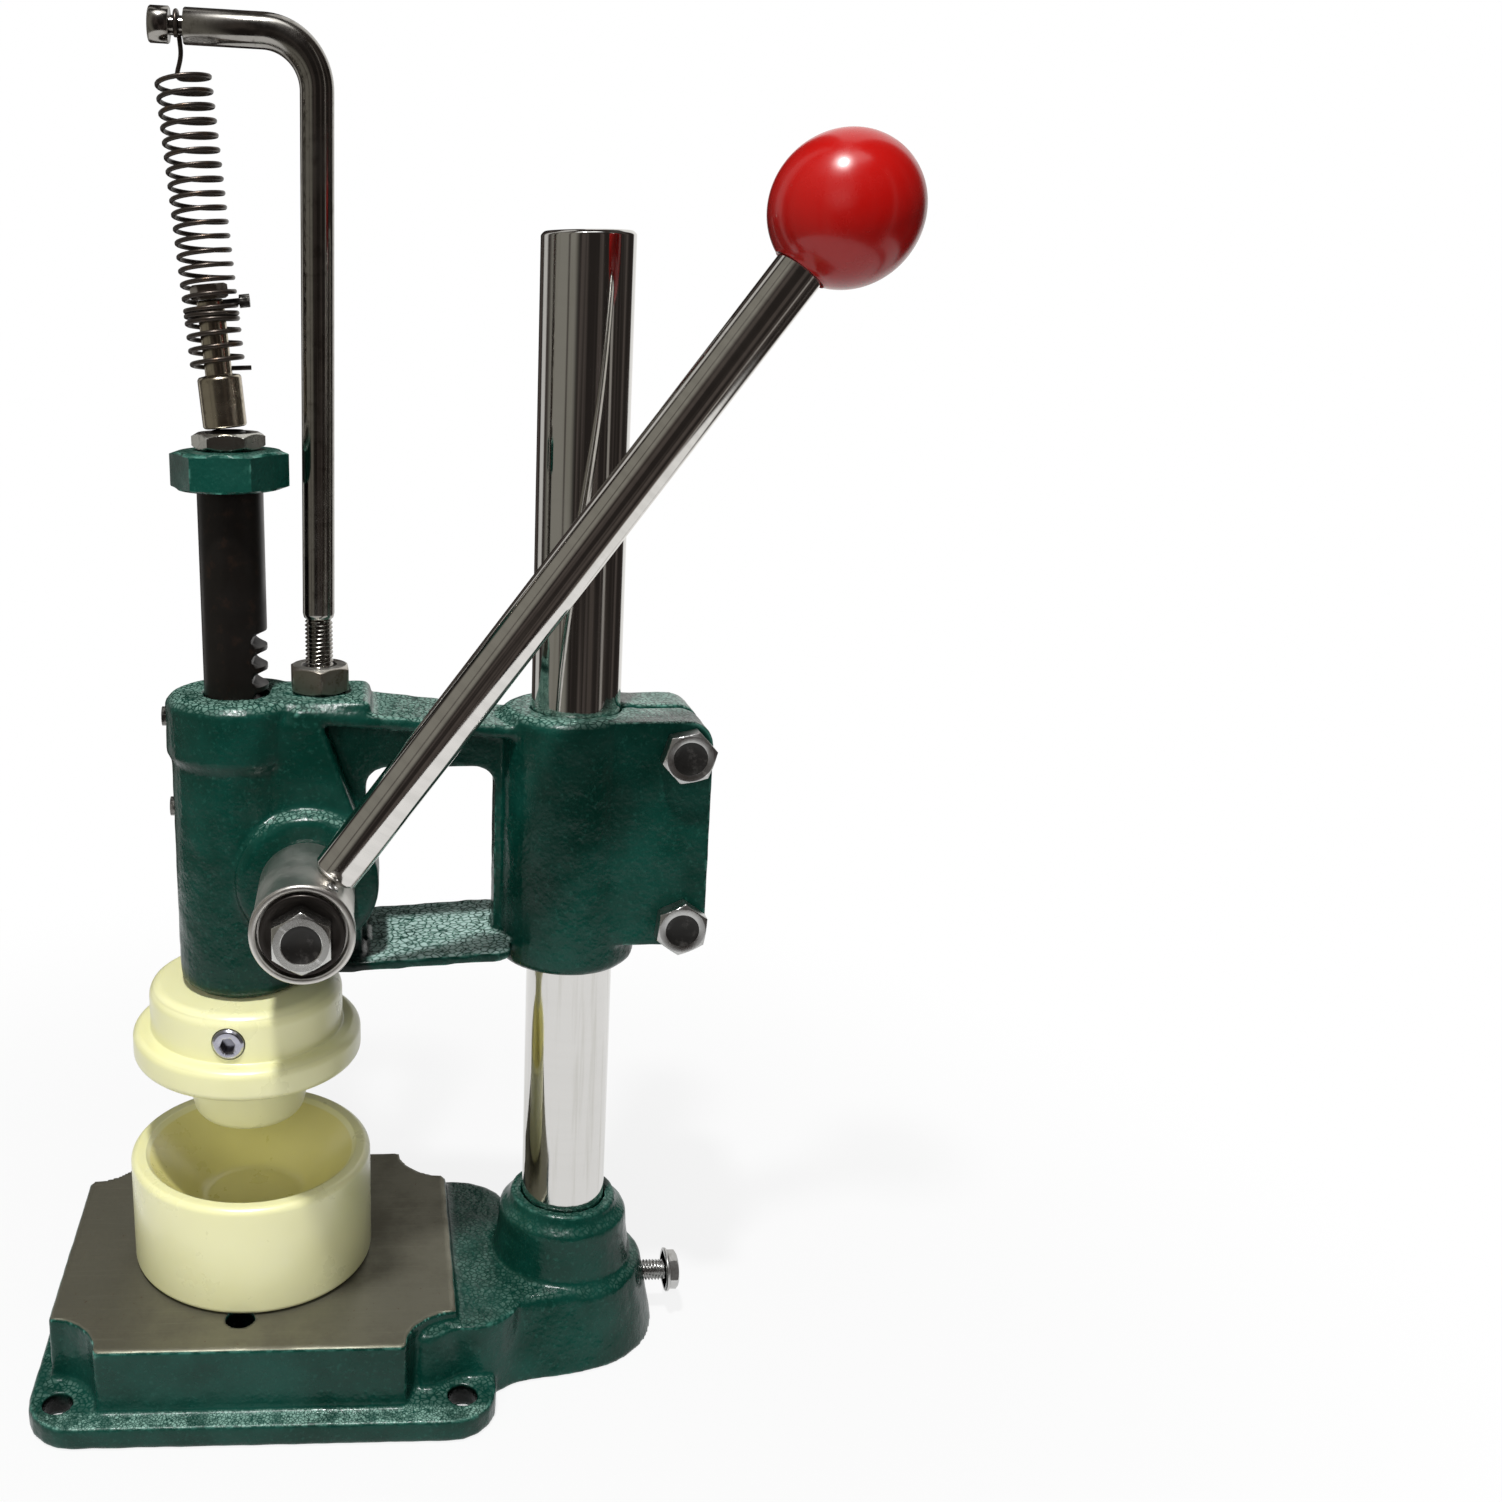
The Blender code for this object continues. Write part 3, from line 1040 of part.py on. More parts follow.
def rounded_route(points, radius, steps):
    """A route through straight runs, with an arc of one radius at each corner."""
    route = [points[0]]
    for before, corner, after in zip(points, points[1:], points[2:]):
        first = (before - corner).normalized()
        second = (after - corner).normalized()
        opening = first.angle(second)
        centre = corner + (first + second).normalized() * radius / math.sin(opening / 2)
        reach = radius / math.tan(opening / 2)
        start = (corner + first * reach - centre).normalized()
        end = (corner + second * reach - centre).normalized()
        for i in range(steps + 1):
            route.append(centre + radius * start.slerp(end, i / steps))
    route.append(points[-1])
    return route


def spring_arm_points():
    """The arm's foot, corner and tip, in the plane of the press."""
    foot = Vector((0, ARM_FOOT, ARM_THREAD_TOP))
    corner = Vector((0, ARM_CORNER_OFFSET, ARM_CORNER_HEIGHT))
    tip = Vector((0, -ARM_TIP, ARM_TIP_HEIGHT))
    return foot, corner, tip


def hook_centre():
    """Where the spring's axis meets the arm's centre line."""
    foot, corner, tip = spring_arm_points()
    run = (tip - corner).normalized()
    height = Vector((0, 0, 1)).dot(corner - SPRING_PIVOT)
    slope = run.z / run.y
    lean = SPRING_AXIS.y / SPRING_AXIS.z
    along = lean * (height - slope * corner.y) / (1 - lean * slope)
    return Vector((0, along, corner.z + slope * (along - corner.y)))


def make_spring_arm():
    """The bent rod with a threaded foot and a turned groove near its tip."""
    foot, corner, tip = spring_arm_points()
    run = (tip - corner).normalized()
    groove = hook_centre()
    groove_near = groove - run * GROOVE_WIDTH / 2
    route = rounded_route([foot, corner, groove_near], ARM_BEND_RADIUS, 2 * ARC_STEPS)
    arm = tube(route, ARM_RADIUS, ARM_ROUND_STEPS)
    aim = Vector((0, 0, 1)).rotation_difference(run).to_matrix().to_4x4()
    groove_place = Matrix.Translation(groove) @ aim
    end = (tip - groove).length
    neck = cylinder(GROOVE_RADIUS, -GROOVE_WIDTH, GROOVE_WIDTH, groove_place, SMALL_FACETS)
    stub = cylinder(ARM_RADIUS, GROOVE_WIDTH / 2, end, groove_place, SMALL_FACETS)
    foot_profile = [
        (0, ARM_THREAD_TOP + ARM_TAPER),
        (ARM_THREAD_RADIUS, ARM_THREAD_TOP + ARM_TAPER),
        (ARM_THREAD_RADIUS, ARM_FOOT_BOTTOM),
        (0, ARM_FOOT_BOTTOM),
    ]
    thread = turned(foot_profile, at(0, ARM_FOOT), SMALL_FACETS)
    join(arm, [neck, stub, thread], BRANCHED_SOLVER)
    nut_place = at(0, ARM_FOOT, HEAD_TOP + CLEARANCE)
    nut_bore = ARM_THREAD_RADIUS + CLEARANCE
    nut = hex_nut(ARM_NUT_FLATS, ARM_NUT_HEIGHT, nut_bore, nut_place, ARM_NUT_TURN)
    return [
        as_part(arm, "spring_arm", "chrome"),
        as_part(nut, "spring_arm_nut", "zinc_steel"),
    ]


def on_spring_axis(height):
    """The point of the spring's leaning axis at a height above the bench."""
    return SPRING_PIVOT + SPRING_AXIS * (height - RAM_TOP) / SPRING_AXIS.z


def spring_top():
    """The height of the last curl, clear of the underside of the sloping arm."""
    corner, tip = spring_arm_points()[1:]
    run = (tip - corner).normalized()
    beside = (SPRING_RADIUS + SPRING_WIRE_RADIUS) * abs(run.z / run.y)
    below = ARM_RADIUS / abs(run.y) + SPRING_BELOW_ARM + SPRING_WIRE_RADIUS
    return hook_centre().z - beside - below


def spring_turns():
    """Whole curls and a share of one, so that the wire ends on the column's side."""
    curls = (spring_top() - SPRING_BOTTOM) / SPRING_CURL_HEIGHT
    return round(curls - SPRING_LAST_CURL_SHARE) + SPRING_LAST_CURL_SHARE


def spring_route():
    """A straight tail, a helix on the leaning axis, and a hook round the groove."""
    forward = Vector((1, 0, 0))
    corner, tip = spring_arm_points()[1:]
    off_arm = (tip - corner).normalized().cross(forward)
    bottom = on_spring_axis(SPRING_BOTTOM)
    top = on_spring_axis(spring_top())
    count = round(spring_turns() * CURL_POINTS)
    route = [bottom - SPRING_RADIUS * forward + SPRING_TAIL * SPRING_SIDE]
    for i in range(count + 1):
        angle = math.pi + 2 * math.pi * (i / CURL_POINTS)
        centre = bottom.lerp(top, i / count)
        route.append(centre + SPRING_RADIUS * (math.cos(angle) * forward + math.sin(angle) * SPRING_SIDE))
    hook = hook_centre()
    hook_radius = GROOVE_RADIUS + SPRING_HOOK_GAP + SPRING_WIRE_RADIUS
    leave = route[-1]
    arrive = hook - forward * hook_radius - off_arm * SPRING_STEM
    for i in range(1, ARC_STEPS):
        share = i / ARC_STEPS
        start_weight = 1 - 3 * share ** 2 + 2 * share ** 3
        lead = (share - 2 * share ** 2 + share ** 3) * -SPRING_LEAD
        rise = (share ** 3 - share ** 2) * SPRING_RISE
        place = leave * start_weight + arrive * (1 - start_weight)
        route.append(place + forward * lead + off_arm * rise)
    route.append(arrive)
    for i in range(ARC_STEPS + 1):
        angle = math.pi - SPRING_HOOK_SWEEP * i / ARC_STEPS
        route.append(hook + hook_radius * (math.cos(angle) * forward + math.sin(angle) * off_arm))
    return route


def least_gap(route, radius):
    """The smallest space between stretches of a wire that aren't neighbours."""
    skip = CURL_POINTS // 2
    least = math.inf
    for i, point in enumerate(route):
        for other in route[i + skip:]:
            least = min(least, (other - point).length - 2 * radius)
    return least


def make_spring():
    route = spring_route()
    spring = tube(route, SPRING_WIRE_RADIUS, SPRING_ROUND_STEPS)
    gap = least_gap(route, SPRING_WIRE_RADIUS) / MM
    print("return_spring least gap to itself, mm:", round(gap, 3))
    return as_part(spring, "return_spring", "zinc_steel")


def make_post():
    """The leaning post on the ram that carries the spring's lower end."""
    place = Matrix.Translation(SPRING_PIVOT) @ Matrix.Rotation(SPRING_LEAN, 4, "X")
    profile = [
        (0, POST_TOP - RAM_TOP),
        (POST_NECK_RADIUS, POST_TOP - RAM_TOP),
        (POST_NECK_RADIUS, POST_SHOULDER - RAM_TOP),
        (POST_RADIUS, POST_SHOULDER - RAM_TOP),
        (POST_RADIUS, POST_BOTTOM - RAM_TOP),
        (0, POST_BOTTOM - RAM_TOP),
    ]
    post = turned(profile, place, SMALL_FACETS)
    above_pivot = SPRING_BOTTOM - RAM_TOP + POST_SCREW_TURNS_UP * SPRING_CURL_HEIGHT
    screw_place = place @ at(0, 0, above_pivot / math.cos(SPRING_LEAN)) @ ALONG_Y
    bore = POST_SCREW_RADIUS + CLEARANCE
    hole = cylinder(bore, -POST_SCREW_END, POST_SCREW_HEAD_START, screw_place, SMALL_FACETS)
    cut(post, [hole])
    head_end = POST_SCREW_HEAD_START + POST_SCREW_HEAD_LENGTH
    head = cylinder(POST_SCREW_HEAD_RADIUS, POST_SCREW_HEAD_START, head_end, screw_place, SMALL_FACETS)
    shank_end = (POST_SCREW_HEAD_START + head_end) / 2
    screw = cylinder(POST_SCREW_RADIUS, CLEARANCE - POST_SCREW_END, shank_end, screw_place, SMALL_FACETS)
    join(screw, [head])
    cap_place = place @ at(0, 0, POST_TOP - RAM_TOP + CLEARANCE)
    cap = hexagon(POST_CAP_FLATS, 0, POST_CAP_HEIGHT, cap_place)
    return [
        as_part(post, "spring_post", "zinc_steel"),
        as_part(screw, "spring_screw", "zinc_steel"),
        as_part(cap, "post_cap_nut", "zinc_steel"),
    ]


def new_joint_empty(name, place):
    """An empty on a joint's axis, for the pieces that move with it."""
    empty = bpy.data.objects.new(name, None)
    empty.location = place
    PARTS.objects.link(empty)
    return empty


def hold(parent, pieces):
    """Parent pieces to an empty and leave them where they are."""
    bpy.context.view_layer.update()
    for piece in pieces:
        piece.parent = parent
        piece.matrix_parent_inverse = parent.matrix_world.inverted()


def main():
    make_base()
    make_column()
    make_column_bolt()
    make_die_cup()
    head = new_joint_empty("head_slide", (0, COLUMN_REACH, SLEEVE_BOTTOM))
    lever = new_joint_empty("lever_turn", (0, PINION_OFFSET, PINION_HEIGHT))
    ram = new_joint_empty("ram_slide", (0, 0, HOUSING_BOTTOM))
    head_pieces = [make_head()] + make_clamp_bolts() + make_guide_screws()
    head_pieces += make_bushing() + make_spring_arm() + [make_spring()]
    lever_pieces = [make_pinion_shaft()] + make_lever() + make_back_collar()
    ram_pieces = [make_ram()] + make_ram_nuts() + make_punch() + make_post()
    hold(head, head_pieces)
    hold(lever, lever_pieces)
    hold(ram, ram_pieces)
    hold(head, [lever, ram])


main()
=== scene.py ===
import math

import bmesh
import bpy
import numpy as np
from mathutils import Matrix, Vector


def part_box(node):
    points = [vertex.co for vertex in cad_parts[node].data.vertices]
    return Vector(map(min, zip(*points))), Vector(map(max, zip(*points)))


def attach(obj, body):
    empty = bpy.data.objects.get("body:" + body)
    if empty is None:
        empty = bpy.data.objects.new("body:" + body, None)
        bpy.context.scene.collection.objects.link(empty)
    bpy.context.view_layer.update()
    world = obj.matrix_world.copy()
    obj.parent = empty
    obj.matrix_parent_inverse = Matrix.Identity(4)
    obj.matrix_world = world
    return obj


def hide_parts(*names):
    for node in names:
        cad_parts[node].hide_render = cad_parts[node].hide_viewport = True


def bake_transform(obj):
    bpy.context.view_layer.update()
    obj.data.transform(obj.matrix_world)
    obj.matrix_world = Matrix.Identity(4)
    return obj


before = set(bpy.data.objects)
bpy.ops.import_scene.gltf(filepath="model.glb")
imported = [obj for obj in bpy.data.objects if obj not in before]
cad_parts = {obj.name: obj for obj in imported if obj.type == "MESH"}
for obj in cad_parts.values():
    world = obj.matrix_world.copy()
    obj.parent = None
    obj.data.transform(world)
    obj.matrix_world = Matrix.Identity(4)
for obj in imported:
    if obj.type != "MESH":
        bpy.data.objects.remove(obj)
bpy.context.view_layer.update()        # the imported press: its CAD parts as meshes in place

mm = 0.001               # shapes are given in mm and become metres when their mesh is made
print("press loaded, nodes:", len(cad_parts))


def setAll(thing, **settings):
    for key, value in settings.items():
        setattr(thing, key, value)
    return thing


def addObject(name, data):
    thing = bpy.data.objects.new(name, data)
    bpy.context.scene.collection.objects.link(thing)
    return thing


cameraView = {
    "place": (532.04, 47.92, 393.75), "pitch": 0.2673, "yaw": -0.0301, "roll": -0.001,
    "focalPixels": 1528.1, "size": 1502, "sensor": 36.0, "clipStart": 10 * mm,
    "across": 415.2, "down": 721.8,              # where the lens axis meets the picture, in pixels
}


def makeCamera(place, pitch, yaw, roll, focalPixels, size, sensor, clipStart, across, down):
    # forward = (-cos p cos y, -cos p sin y, -sin p), then a small roll about it
    forward = Vector((-math.cos(pitch) * math.cos(yaw), -math.cos(pitch) * math.sin(yaw), -math.sin(pitch)))
    level = Vector((-math.sin(yaw), math.cos(yaw), 0))
    upward = level.cross(forward)
    right = level * math.cos(roll) + upward * math.sin(roll)
    up = upward * math.cos(roll) - level * math.sin(roll)
    data = setAll(bpy.data.cameras.new("pressCamera"), clip_start=clipStart, sensor_width=sensor)
    setAll(data, lens=focalPixels * sensor / size, shift_x=(size / 2 - across) / size,
           shift_y=(down - size / 2) / size)
    camera = addObject("pressCamera", data)
    turn = Matrix((right, up, -forward)).transposed().to_4x4()
    camera.matrix_world = Matrix.Translation(Vector(place) * mm) @ turn
    bpy.context.scene.camera = camera


makeCamera(**cameraView)
print("camera set")


# shapes are grids of points from numpy

def unit(vector):
    vector = np.asarray(vector, float)
    return vector / np.linalg.norm(vector)


def spokesRound(axis, around):
    # w along the axis, u and v square to it with u x v = w, and for each angle a the spoke cos a u + sin a v
    w = unit(axis)
    helper = (0, 0, 1) if abs(w[1]) > 0.9 else (0, 1, 0)
    u = unit(np.cross(helper, w))
    v = np.cross(w, u)
    angle = np.arange(around) * 2 * np.pi / around
    return w, angle, np.cos(angle)[:, None] * u + np.sin(angle)[:, None] * v


def eased(corners, steps=5):
    # a corner c between c + a and c + b becomes (1-t)^2 (c+a) + 2t(1-t) c + t^2 (c+b), t from 0 to 1
    points = np.array([corner[:2] for corner in corners], float)
    eases = [corner[2] if len(corner) > 2 else 0 for corner in corners]
    t = np.linspace(0, 1, steps + 1)[:, None]
    parts = [points[:1]]
    for before, corner, after, ease in zip(points, points[1:], points[2:], eases[1:]):
        if ease:
            a = corner + unit(before - corner) * ease
            b = corner + unit(after - corner) * ease
            parts.append((1 - t) ** 2 * a + 2 * t * (1 - t) * corner + t ** 2 * b)
        else:
            parts.append(corner[None])
    parts.append(points[-1:])
    return np.vstack(parts) * mm


def hexagonShare(angle, turn):
    # distance to a hexagon's side over its inner radius: 1 / cos(angle from the nearest flat)
    return 1 / np.cos((angle - turn + np.pi / 6) % (np.pi / 3) - np.pi / 6)


def turnedRows(profile, origin, axis, around=96, flats=0, turn=0, socketRows=()):
    # P(i, a) = origin + h_i w + r(i, a) spoke(a); flats trims r to a hexagon, socketRows are six-sided
    w, angle, spokes = spokesRound(axis, around)
    radius = np.repeat(profile[:, :1], around, axis=1)
    if flats:
        radius = np.minimum(radius, flats * mm / 2 * hexagonShare(angle, turn))
    for row in socketRows:
        radius[row] = profile[row, 0] * hexagonShare(angle, turn)
    return np.asarray(origin, float) * mm + profile[:, 1][:, None, None] * w + radius[:, :, None] * spokes


def threadRows(thread, origin, axis, around=40, rowsPerTurn=8):
    # r(h, a) = radius - depth |2s - 1| with s = h / pitch - a / 2 pi, wrapped to 0..1, and both ends closed
    radius, depth, pitch, top, bottom = thread
    w, angle, spokes = spokesRound(axis, around)
    height = np.linspace(top, bottom, max(int(abs(top - bottom) / pitch * rowsPerTurn), 4))
    share = (height[:, None] / pitch - angle[None] / (2 * np.pi)) % 1
    r = radius - depth * np.clip(1.5 * np.abs(2 * share - 1) - 0.25, 0, 1)
    fade = np.clip((top - height) / pitch, 0, 1)[:, None]
    r = r * fade + (radius - depth) * (1 - fade)
    r = np.vstack([np.zeros((1, around)), r, np.zeros((1, around))]) * mm
    height = np.concatenate([height[:1], height, height[-1:]]) * mm
    return np.asarray(origin, float) * mm + height[:, None, None] * w + r[:, :, None] * spokes


def wireRows(path, radius, around):
    # a circle of each point's radius, square to the path, its frame carried along without twist
    tangent = np.gradient(path, axis=0)
    tangent /= np.linalg.norm(tangent, axis=1)[:, None]
    side = [unit(np.cross(tangent[0], (1.0, 0.02, 0.05)))]
    for here in tangent[1:]:
        side.append(unit(side[-1] - here * np.dot(side[-1], here)))
    side = np.array(side)
    other = np.cross(tangent, side)
    angle = -np.arange(around) * 2 * np.pi / around
    radius = np.broadcast_to(radius, len(path))[:, None, None]
    circle = np.cos(angle)[:, None] * side[:, None] + np.sin(angle)[:, None] * other[:, None]
    tips = np.repeat(path[[0, -1]][:, None], around, axis=1)
    return np.concatenate([tips[:1], path[:, None] + radius * circle, tips[1:]]) * mm


def gridMesh(rows, ring=False):
    # quads between grid neighbours, round the columns, and round the rows too where ring is set
    count, around = rows.shape[:2]
    i = np.arange(count if ring else count - 1)[:, None]
    j = np.arange(around)[None]
    iNext, jNext = (i + 1) % count, (j + 1) % around
    corners = [i * around + j, iNext * around + j, iNext * around + jNext, i * around + jNext]
    mesh = bpy.data.meshes.new("grid")
    mesh.from_pydata(rows.reshape(-1, 3), [], np.stack(corners, axis=-1).reshape(-1, 4))
    return mesh


def weld(name, meshes, flip=True):
    # one mesh from several, with seams and poles closed and faces outwards
    cage = bmesh.new()
    for mesh in meshes:
        cage.from_mesh(mesh)
    bmesh.ops.remove_doubles(cage, verts=cage.verts, dist=0.003 * mm)
    bmesh.ops.dissolve_degenerate(cage, edges=cage.edges, dist=0.002 * mm)
    if flip:
        bmesh.ops.recalc_face_normals(cage, faces=cage.faces)
    whole = bpy.data.meshes.new(name)
    cage.to_mesh(whole)
    cage.free()
    return whole


def closedMesh(name, *grids):
    return weld(name, [gridMesh(rows) for rows in grids])


def mergedCopy(node, added=()):
    # the CAD node's loose triangles joined at their corners, with any added mass
    return weld(node + "Copy", [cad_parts[node].data, *added], flip=False)


def nodeOf(name):
    # the CAD node that a piece's own name means: dieCup is die_cup
    return "".join("_" + letter.lower() if letter.isupper() else letter for letter in name)


looks = {}


def dress(name, mesh, look, body, sharpAngle=35, nodes=None):
    # a finished piece: shaded, given its look, set on its body, standing for its nodes
    mesh.materials.clear()
    mesh.materials.append(looks[look])
    mesh.polygons.foreach_set("material_index", np.zeros(len(mesh.polygons), np.int32))
    mesh.shade_smooth()
    if sharpAngle:
        mesh.set_sharp_from_angle(angle=math.radians(sharpAngle))
    piece = addObject(name, mesh)
    if body:
        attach(piece, body)
    nodes = [nodeOf(name)] if nodes is None else nodes
    if nodes:
        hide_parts(*nodes)
    return piece


def turnedPiece(name, corners, origin, axis, look, body, slotName="zinc_steel", nodes=None, around=96,
                **shape):
    rows = turnedRows(eased(corners), origin, axis, around, **shape)
    dress(name, closedMesh(name, rows), look, body, nodes=nodes)


# a shader node joins the tree of the sockets that feed it

def feed(node, **inputs):
    # inputs by name, spaces as underscores, or by number as n0, n1; a colour is given without its alpha
    for key, value in inputs.items():
        socket = node.inputs[int(key[1:]) if key[1:].isdigit() else key.replace("_", " ")]
        if isinstance(value, bpy.types.NodeSocket):
            node.id_data.links.new(value, socket)
        else:
            socket.default_value = (*value, 1) if socket.type == "RGBA" else value


def addNode(kind, settings=None, **inputs):
    tree = next(value.id_data for value in inputs.values() if isinstance(value, bpy.types.NodeSocket))
    node = setAll(tree.nodes.new("ShaderNode" + kind), **(settings or {}))
    feed(node, **inputs)
    return node


def mathNode(operation, a, b=0.5, clamp=False):
    return addNode("Math", {"operation": operation, "use_clamp": clamp}, n0=a, n1=b).outputs[0]


def times(product, *others):
    for other in others:
        product = mathNode("MULTIPLY", product, other)
    return product


def vectorNode(operation, a, b=(0, 0, 0)):
    node = addNode("VectorMath", {"operation": operation}, n0=a, n1=b)
    return node.outputs["Value" if operation == "LENGTH" else "Vector"]


def rangeNode(value, low, high, outLow=0.0, outHigh=1.0):
    return addNode("MapRange", {"interpolation_type": "SMOOTHSTEP"}, n0=value, n1=low, n2=high, n3=outLow,
                   n4=outHigh).outputs[0]


def between(share, low, high):
    return addNode("MapRange", n0=share, n3=low, n4=high).outputs[0]


def mixColour(factor, a, b):
    return addNode("Mix", {"data_type": "RGBA"}, n0=factor, n6=a, n7=b).outputs[2]


def mixValue(factor, a, b):
    return addNode("Mix", n0=factor, n2=a, n3=b).outputs[0]


def layered(colour, layers):
    # each layer is a mask and the colour that it brings
    for mask, tone in layers:
        colour = mixColour(mask, colour, tone)
    return colour


def scaled(colour, share):
    return tuple(value * share for value in colour)


def noiseNode(vector, scale, detail=3.0, roughness=0.5):
    return addNode("TexNoise", Vector=vector, Scale=scale, Detail=detail, Roughness=roughness).outputs[0]


def cellNode(vector, feature, **inputs):
    return addNode("TexVoronoi", {"feature": feature}, Vector=vector, **inputs).outputs["Distance"]


def axisOf(vector, axis):
    return addNode("SeparateXYZ", Vector=vector).outputs[axis]


def mapped(vector, **how):
    return addNode("Mapping", Vector=vector, **how).outputs[0]


def surface(place, output):
    return place.id_data.nodes.new("ShaderNodeNewGeometry").outputs[output]


# the effects that several looks share; each becomes a node group, its inputs the arguments in order

def edgeWear(place, scale, start, full, amount):
    # 1 on outer edges, broken up by noise: for worn edges, and for a painted highlight along edges
    edge = rangeNode(surface(place, "Pointiness"), start, full)
    patch = rangeNode(noiseNode(place, scale, 4.0), 0.46, 0.6)
    return {"Mask": times(edge, patch, amount)}


def crevice(place, start, full, amount):
    # 1 in inner corners, for dirt and painted shade there
    inner = rangeNode(surface(place, "Pointiness"), start, full)
    patch = rangeNode(noiseNode(place, 60.0), 0.25, 0.7)
    return {"Mask": times(inner, patch, amount)}


def castSkin(place, lumpScale, grainScale, lumpDepth, grainDepth):
    # cast iron under thick paint: lumps, pits and paint grain as a height, clouds for the colour
    lumps = noiseNode(place, lumpScale, 3.0, 0.55)
    cells = cellNode(place, "SMOOTH_F1", Scale=grainScale, Smoothness=0.6)
    grain = noiseNode(place, grainScale, 2.0, 0.6)
    height = mathNode("ADD", times(lumps, lumpDepth), times(mathNode("ADD", grain, cells), grainDepth))
    clouds = noiseNode(place, 26.0, 4.0, 0.6)
    return {"Height": height, "Flecks": rangeNode(grain, 0.56, 0.72), "Clouds": clouds}


def turningMarks(place, scale, broadScale):
    # rings round the local Z axis: noise of (distance from the axis, height)
    x, y, z = addNode("SeparateXYZ", Vector=place).outputs
    reach = vectorNode("LENGTH", addNode("CombineXYZ", X=x, Y=y).outputs[0])
    both = addNode("CombineXYZ", X=reach, Z=z).outputs[0]
    return {"Rings": noiseNode(both, scale, 2.0), "Broad": noiseNode(both, broadScale, 3.0)}


def smudges(place, scale, low, high):
    # a roughness that drifts between two values
    return {"Roughness": between(rangeNode(noiseNode(place, scale, 5.0, 0.62), 0.35, 0.68), low, high)}


def levelFace(place, height, reach):
    # 1 where the surface faces up at one height: a face that was machined after painting
    away = mathNode("ABSOLUTE", mathNode("SUBTRACT", axisOf(place, "Z"), height))
    upward = rangeNode(axisOf(surface(place, "Normal"), "Z"), 0.6, 0.9)
    return {"Mask": times(mathNode("LESS_THAN", away, reach), upward)}


def skyFlecks(place, scale, amount, start, full, patchLow, patchHigh):
    # where the skin faces up, pale specks: a painted highlight, as if pits under gloss paint caught the light
    # overhead
    facing = rangeNode(axisOf(surface(place, "Normal"), "Z"), start, full)
    pits = rangeNode(cellNode(place, "DISTANCE_TO_EDGE", Scale=scale), 0.02, 0.22)
    patches = rangeNode(noiseNode(place, 150.0, 4.0, 0.7), patchLow, patchHigh, 0.25, 1.0)
    return {"Mask": times(facing, times(pits, patches), amount), "Upward": facing}


def boreShade(place, centre, radius):
    # 1 within a radius of an upright hole's axis, where no light reaches
    flat = vectorNode("MULTIPLY", vectorNode("SUBTRACT", place, centre), (1, 1, 0))
    beyond = mathNode("SUBTRACT", vectorNode("LENGTH", flat), radius)
    return {"Mask": rangeNode(beyond, -0.2 * mm, 0.35 * mm, 1.0, 0.0)}


def heightBand(place, low, high, edge):
    # 1 between two heights, with a soft edge
    height = axisOf(place, "Z")
    over = rangeNode(height, mathNode("SUBTRACT", low, edge), low)
    under = rangeNode(height, high, mathNode("ADD", high, edge), 1.0, 0.0)
    return {"Mask": times(over, under)}


def makeEffect(build, **inputs):
    # a node group: Vector and the named inputs go in, a vector where the value is None, build's sockets out
    group = bpy.data.node_groups.new(build.__name__, "ShaderNodeTree")
    for label, value in {"Vector": None, **inputs}.items():
        kind = "NodeSocketVector" if value is None else "NodeSocketFloat"
        socket = group.interface.new_socket(name=label.replace("_", " "), in_out="INPUT", socket_type=kind)
        if value is not None:
            socket.default_value = value
    entry = group.nodes.new("NodeGroupInput")
    results = build(*entry.outputs[:len(inputs) + 1])
    for label in results:
        group.interface.new_socket(name=label, in_out="OUTPUT", socket_type="NodeSocketFloat")
    feed(group.nodes.new("NodeGroupOutput"), **results)
    return group


effects = {
    "sky": makeEffect(skyFlecks, Scale=520.0, Amount=0.5, Start=0.45, Full=0.97, Patch_Low=0.38,
                      Patch_High=0.62),
    "bore": makeEffect(boreShade, Centre=None, Radius=5.0 * mm),
    "band": makeEffect(heightBand, Low=160.0 * mm, High=170.0 * mm, Edge=2.0 * mm),
    "wear": makeEffect(edgeWear, Noise_Scale=180.0, Start=0.53, Full=0.60, Amount=1.0),
    "crevice": makeEffect(crevice, Start=0.48, Full=0.42, Amount=1.0),
    "cast": makeEffect(castSkin, Lump_Scale=110.0, Grain_Scale=620.0, Lump_Depth=0.5, Grain_Depth=0.3),
    "turning": makeEffect(turningMarks, Scale=2500.0, Broad_Scale=260.0),
    "smudge": makeEffect(smudges, Scale=30.0, Low=0.1, High=0.3),
    "level": makeEffect(levelFace, Height=34.5 * mm, Reach=0.6 * mm),
}


def useEffect(name, place, **inputs):
    node = place.id_data.nodes.new("ShaderNodeGroup")
    node.node_tree = effects[name]
    feed(node, Vector=place, **inputs)
    return node.outputs


def maskOf(name, place, **inputs):
    return useEffect(name, place, **inputs)["Mask"]


def newLook(name, centre=None, axis=None):
    # a material with its Principled shader and Object coordinates, turned so that a piece's axis is local Z
    look = looks[name] = bpy.data.materials.new(name)
    look.use_nodes = True
    nodes = look.node_tree.nodes
    place = nodes.new("ShaderNodeTexCoord").outputs["Object"]
    if centre:
        place = mapped(place, Location=tuple(-value * mm for value in centre))
    if axis:
        place = mapped(place, Rotation=tuple(Vector(axis).rotation_difference(Vector((0, 0, 1))).to_euler()))
    return nodes["Principled BSDF"], place


def setBump(shader, height, strength, distance):
    feed(shader, Normal=addNode("Bump", Height=height, Strength=strength, Distance=distance).outputs[0])


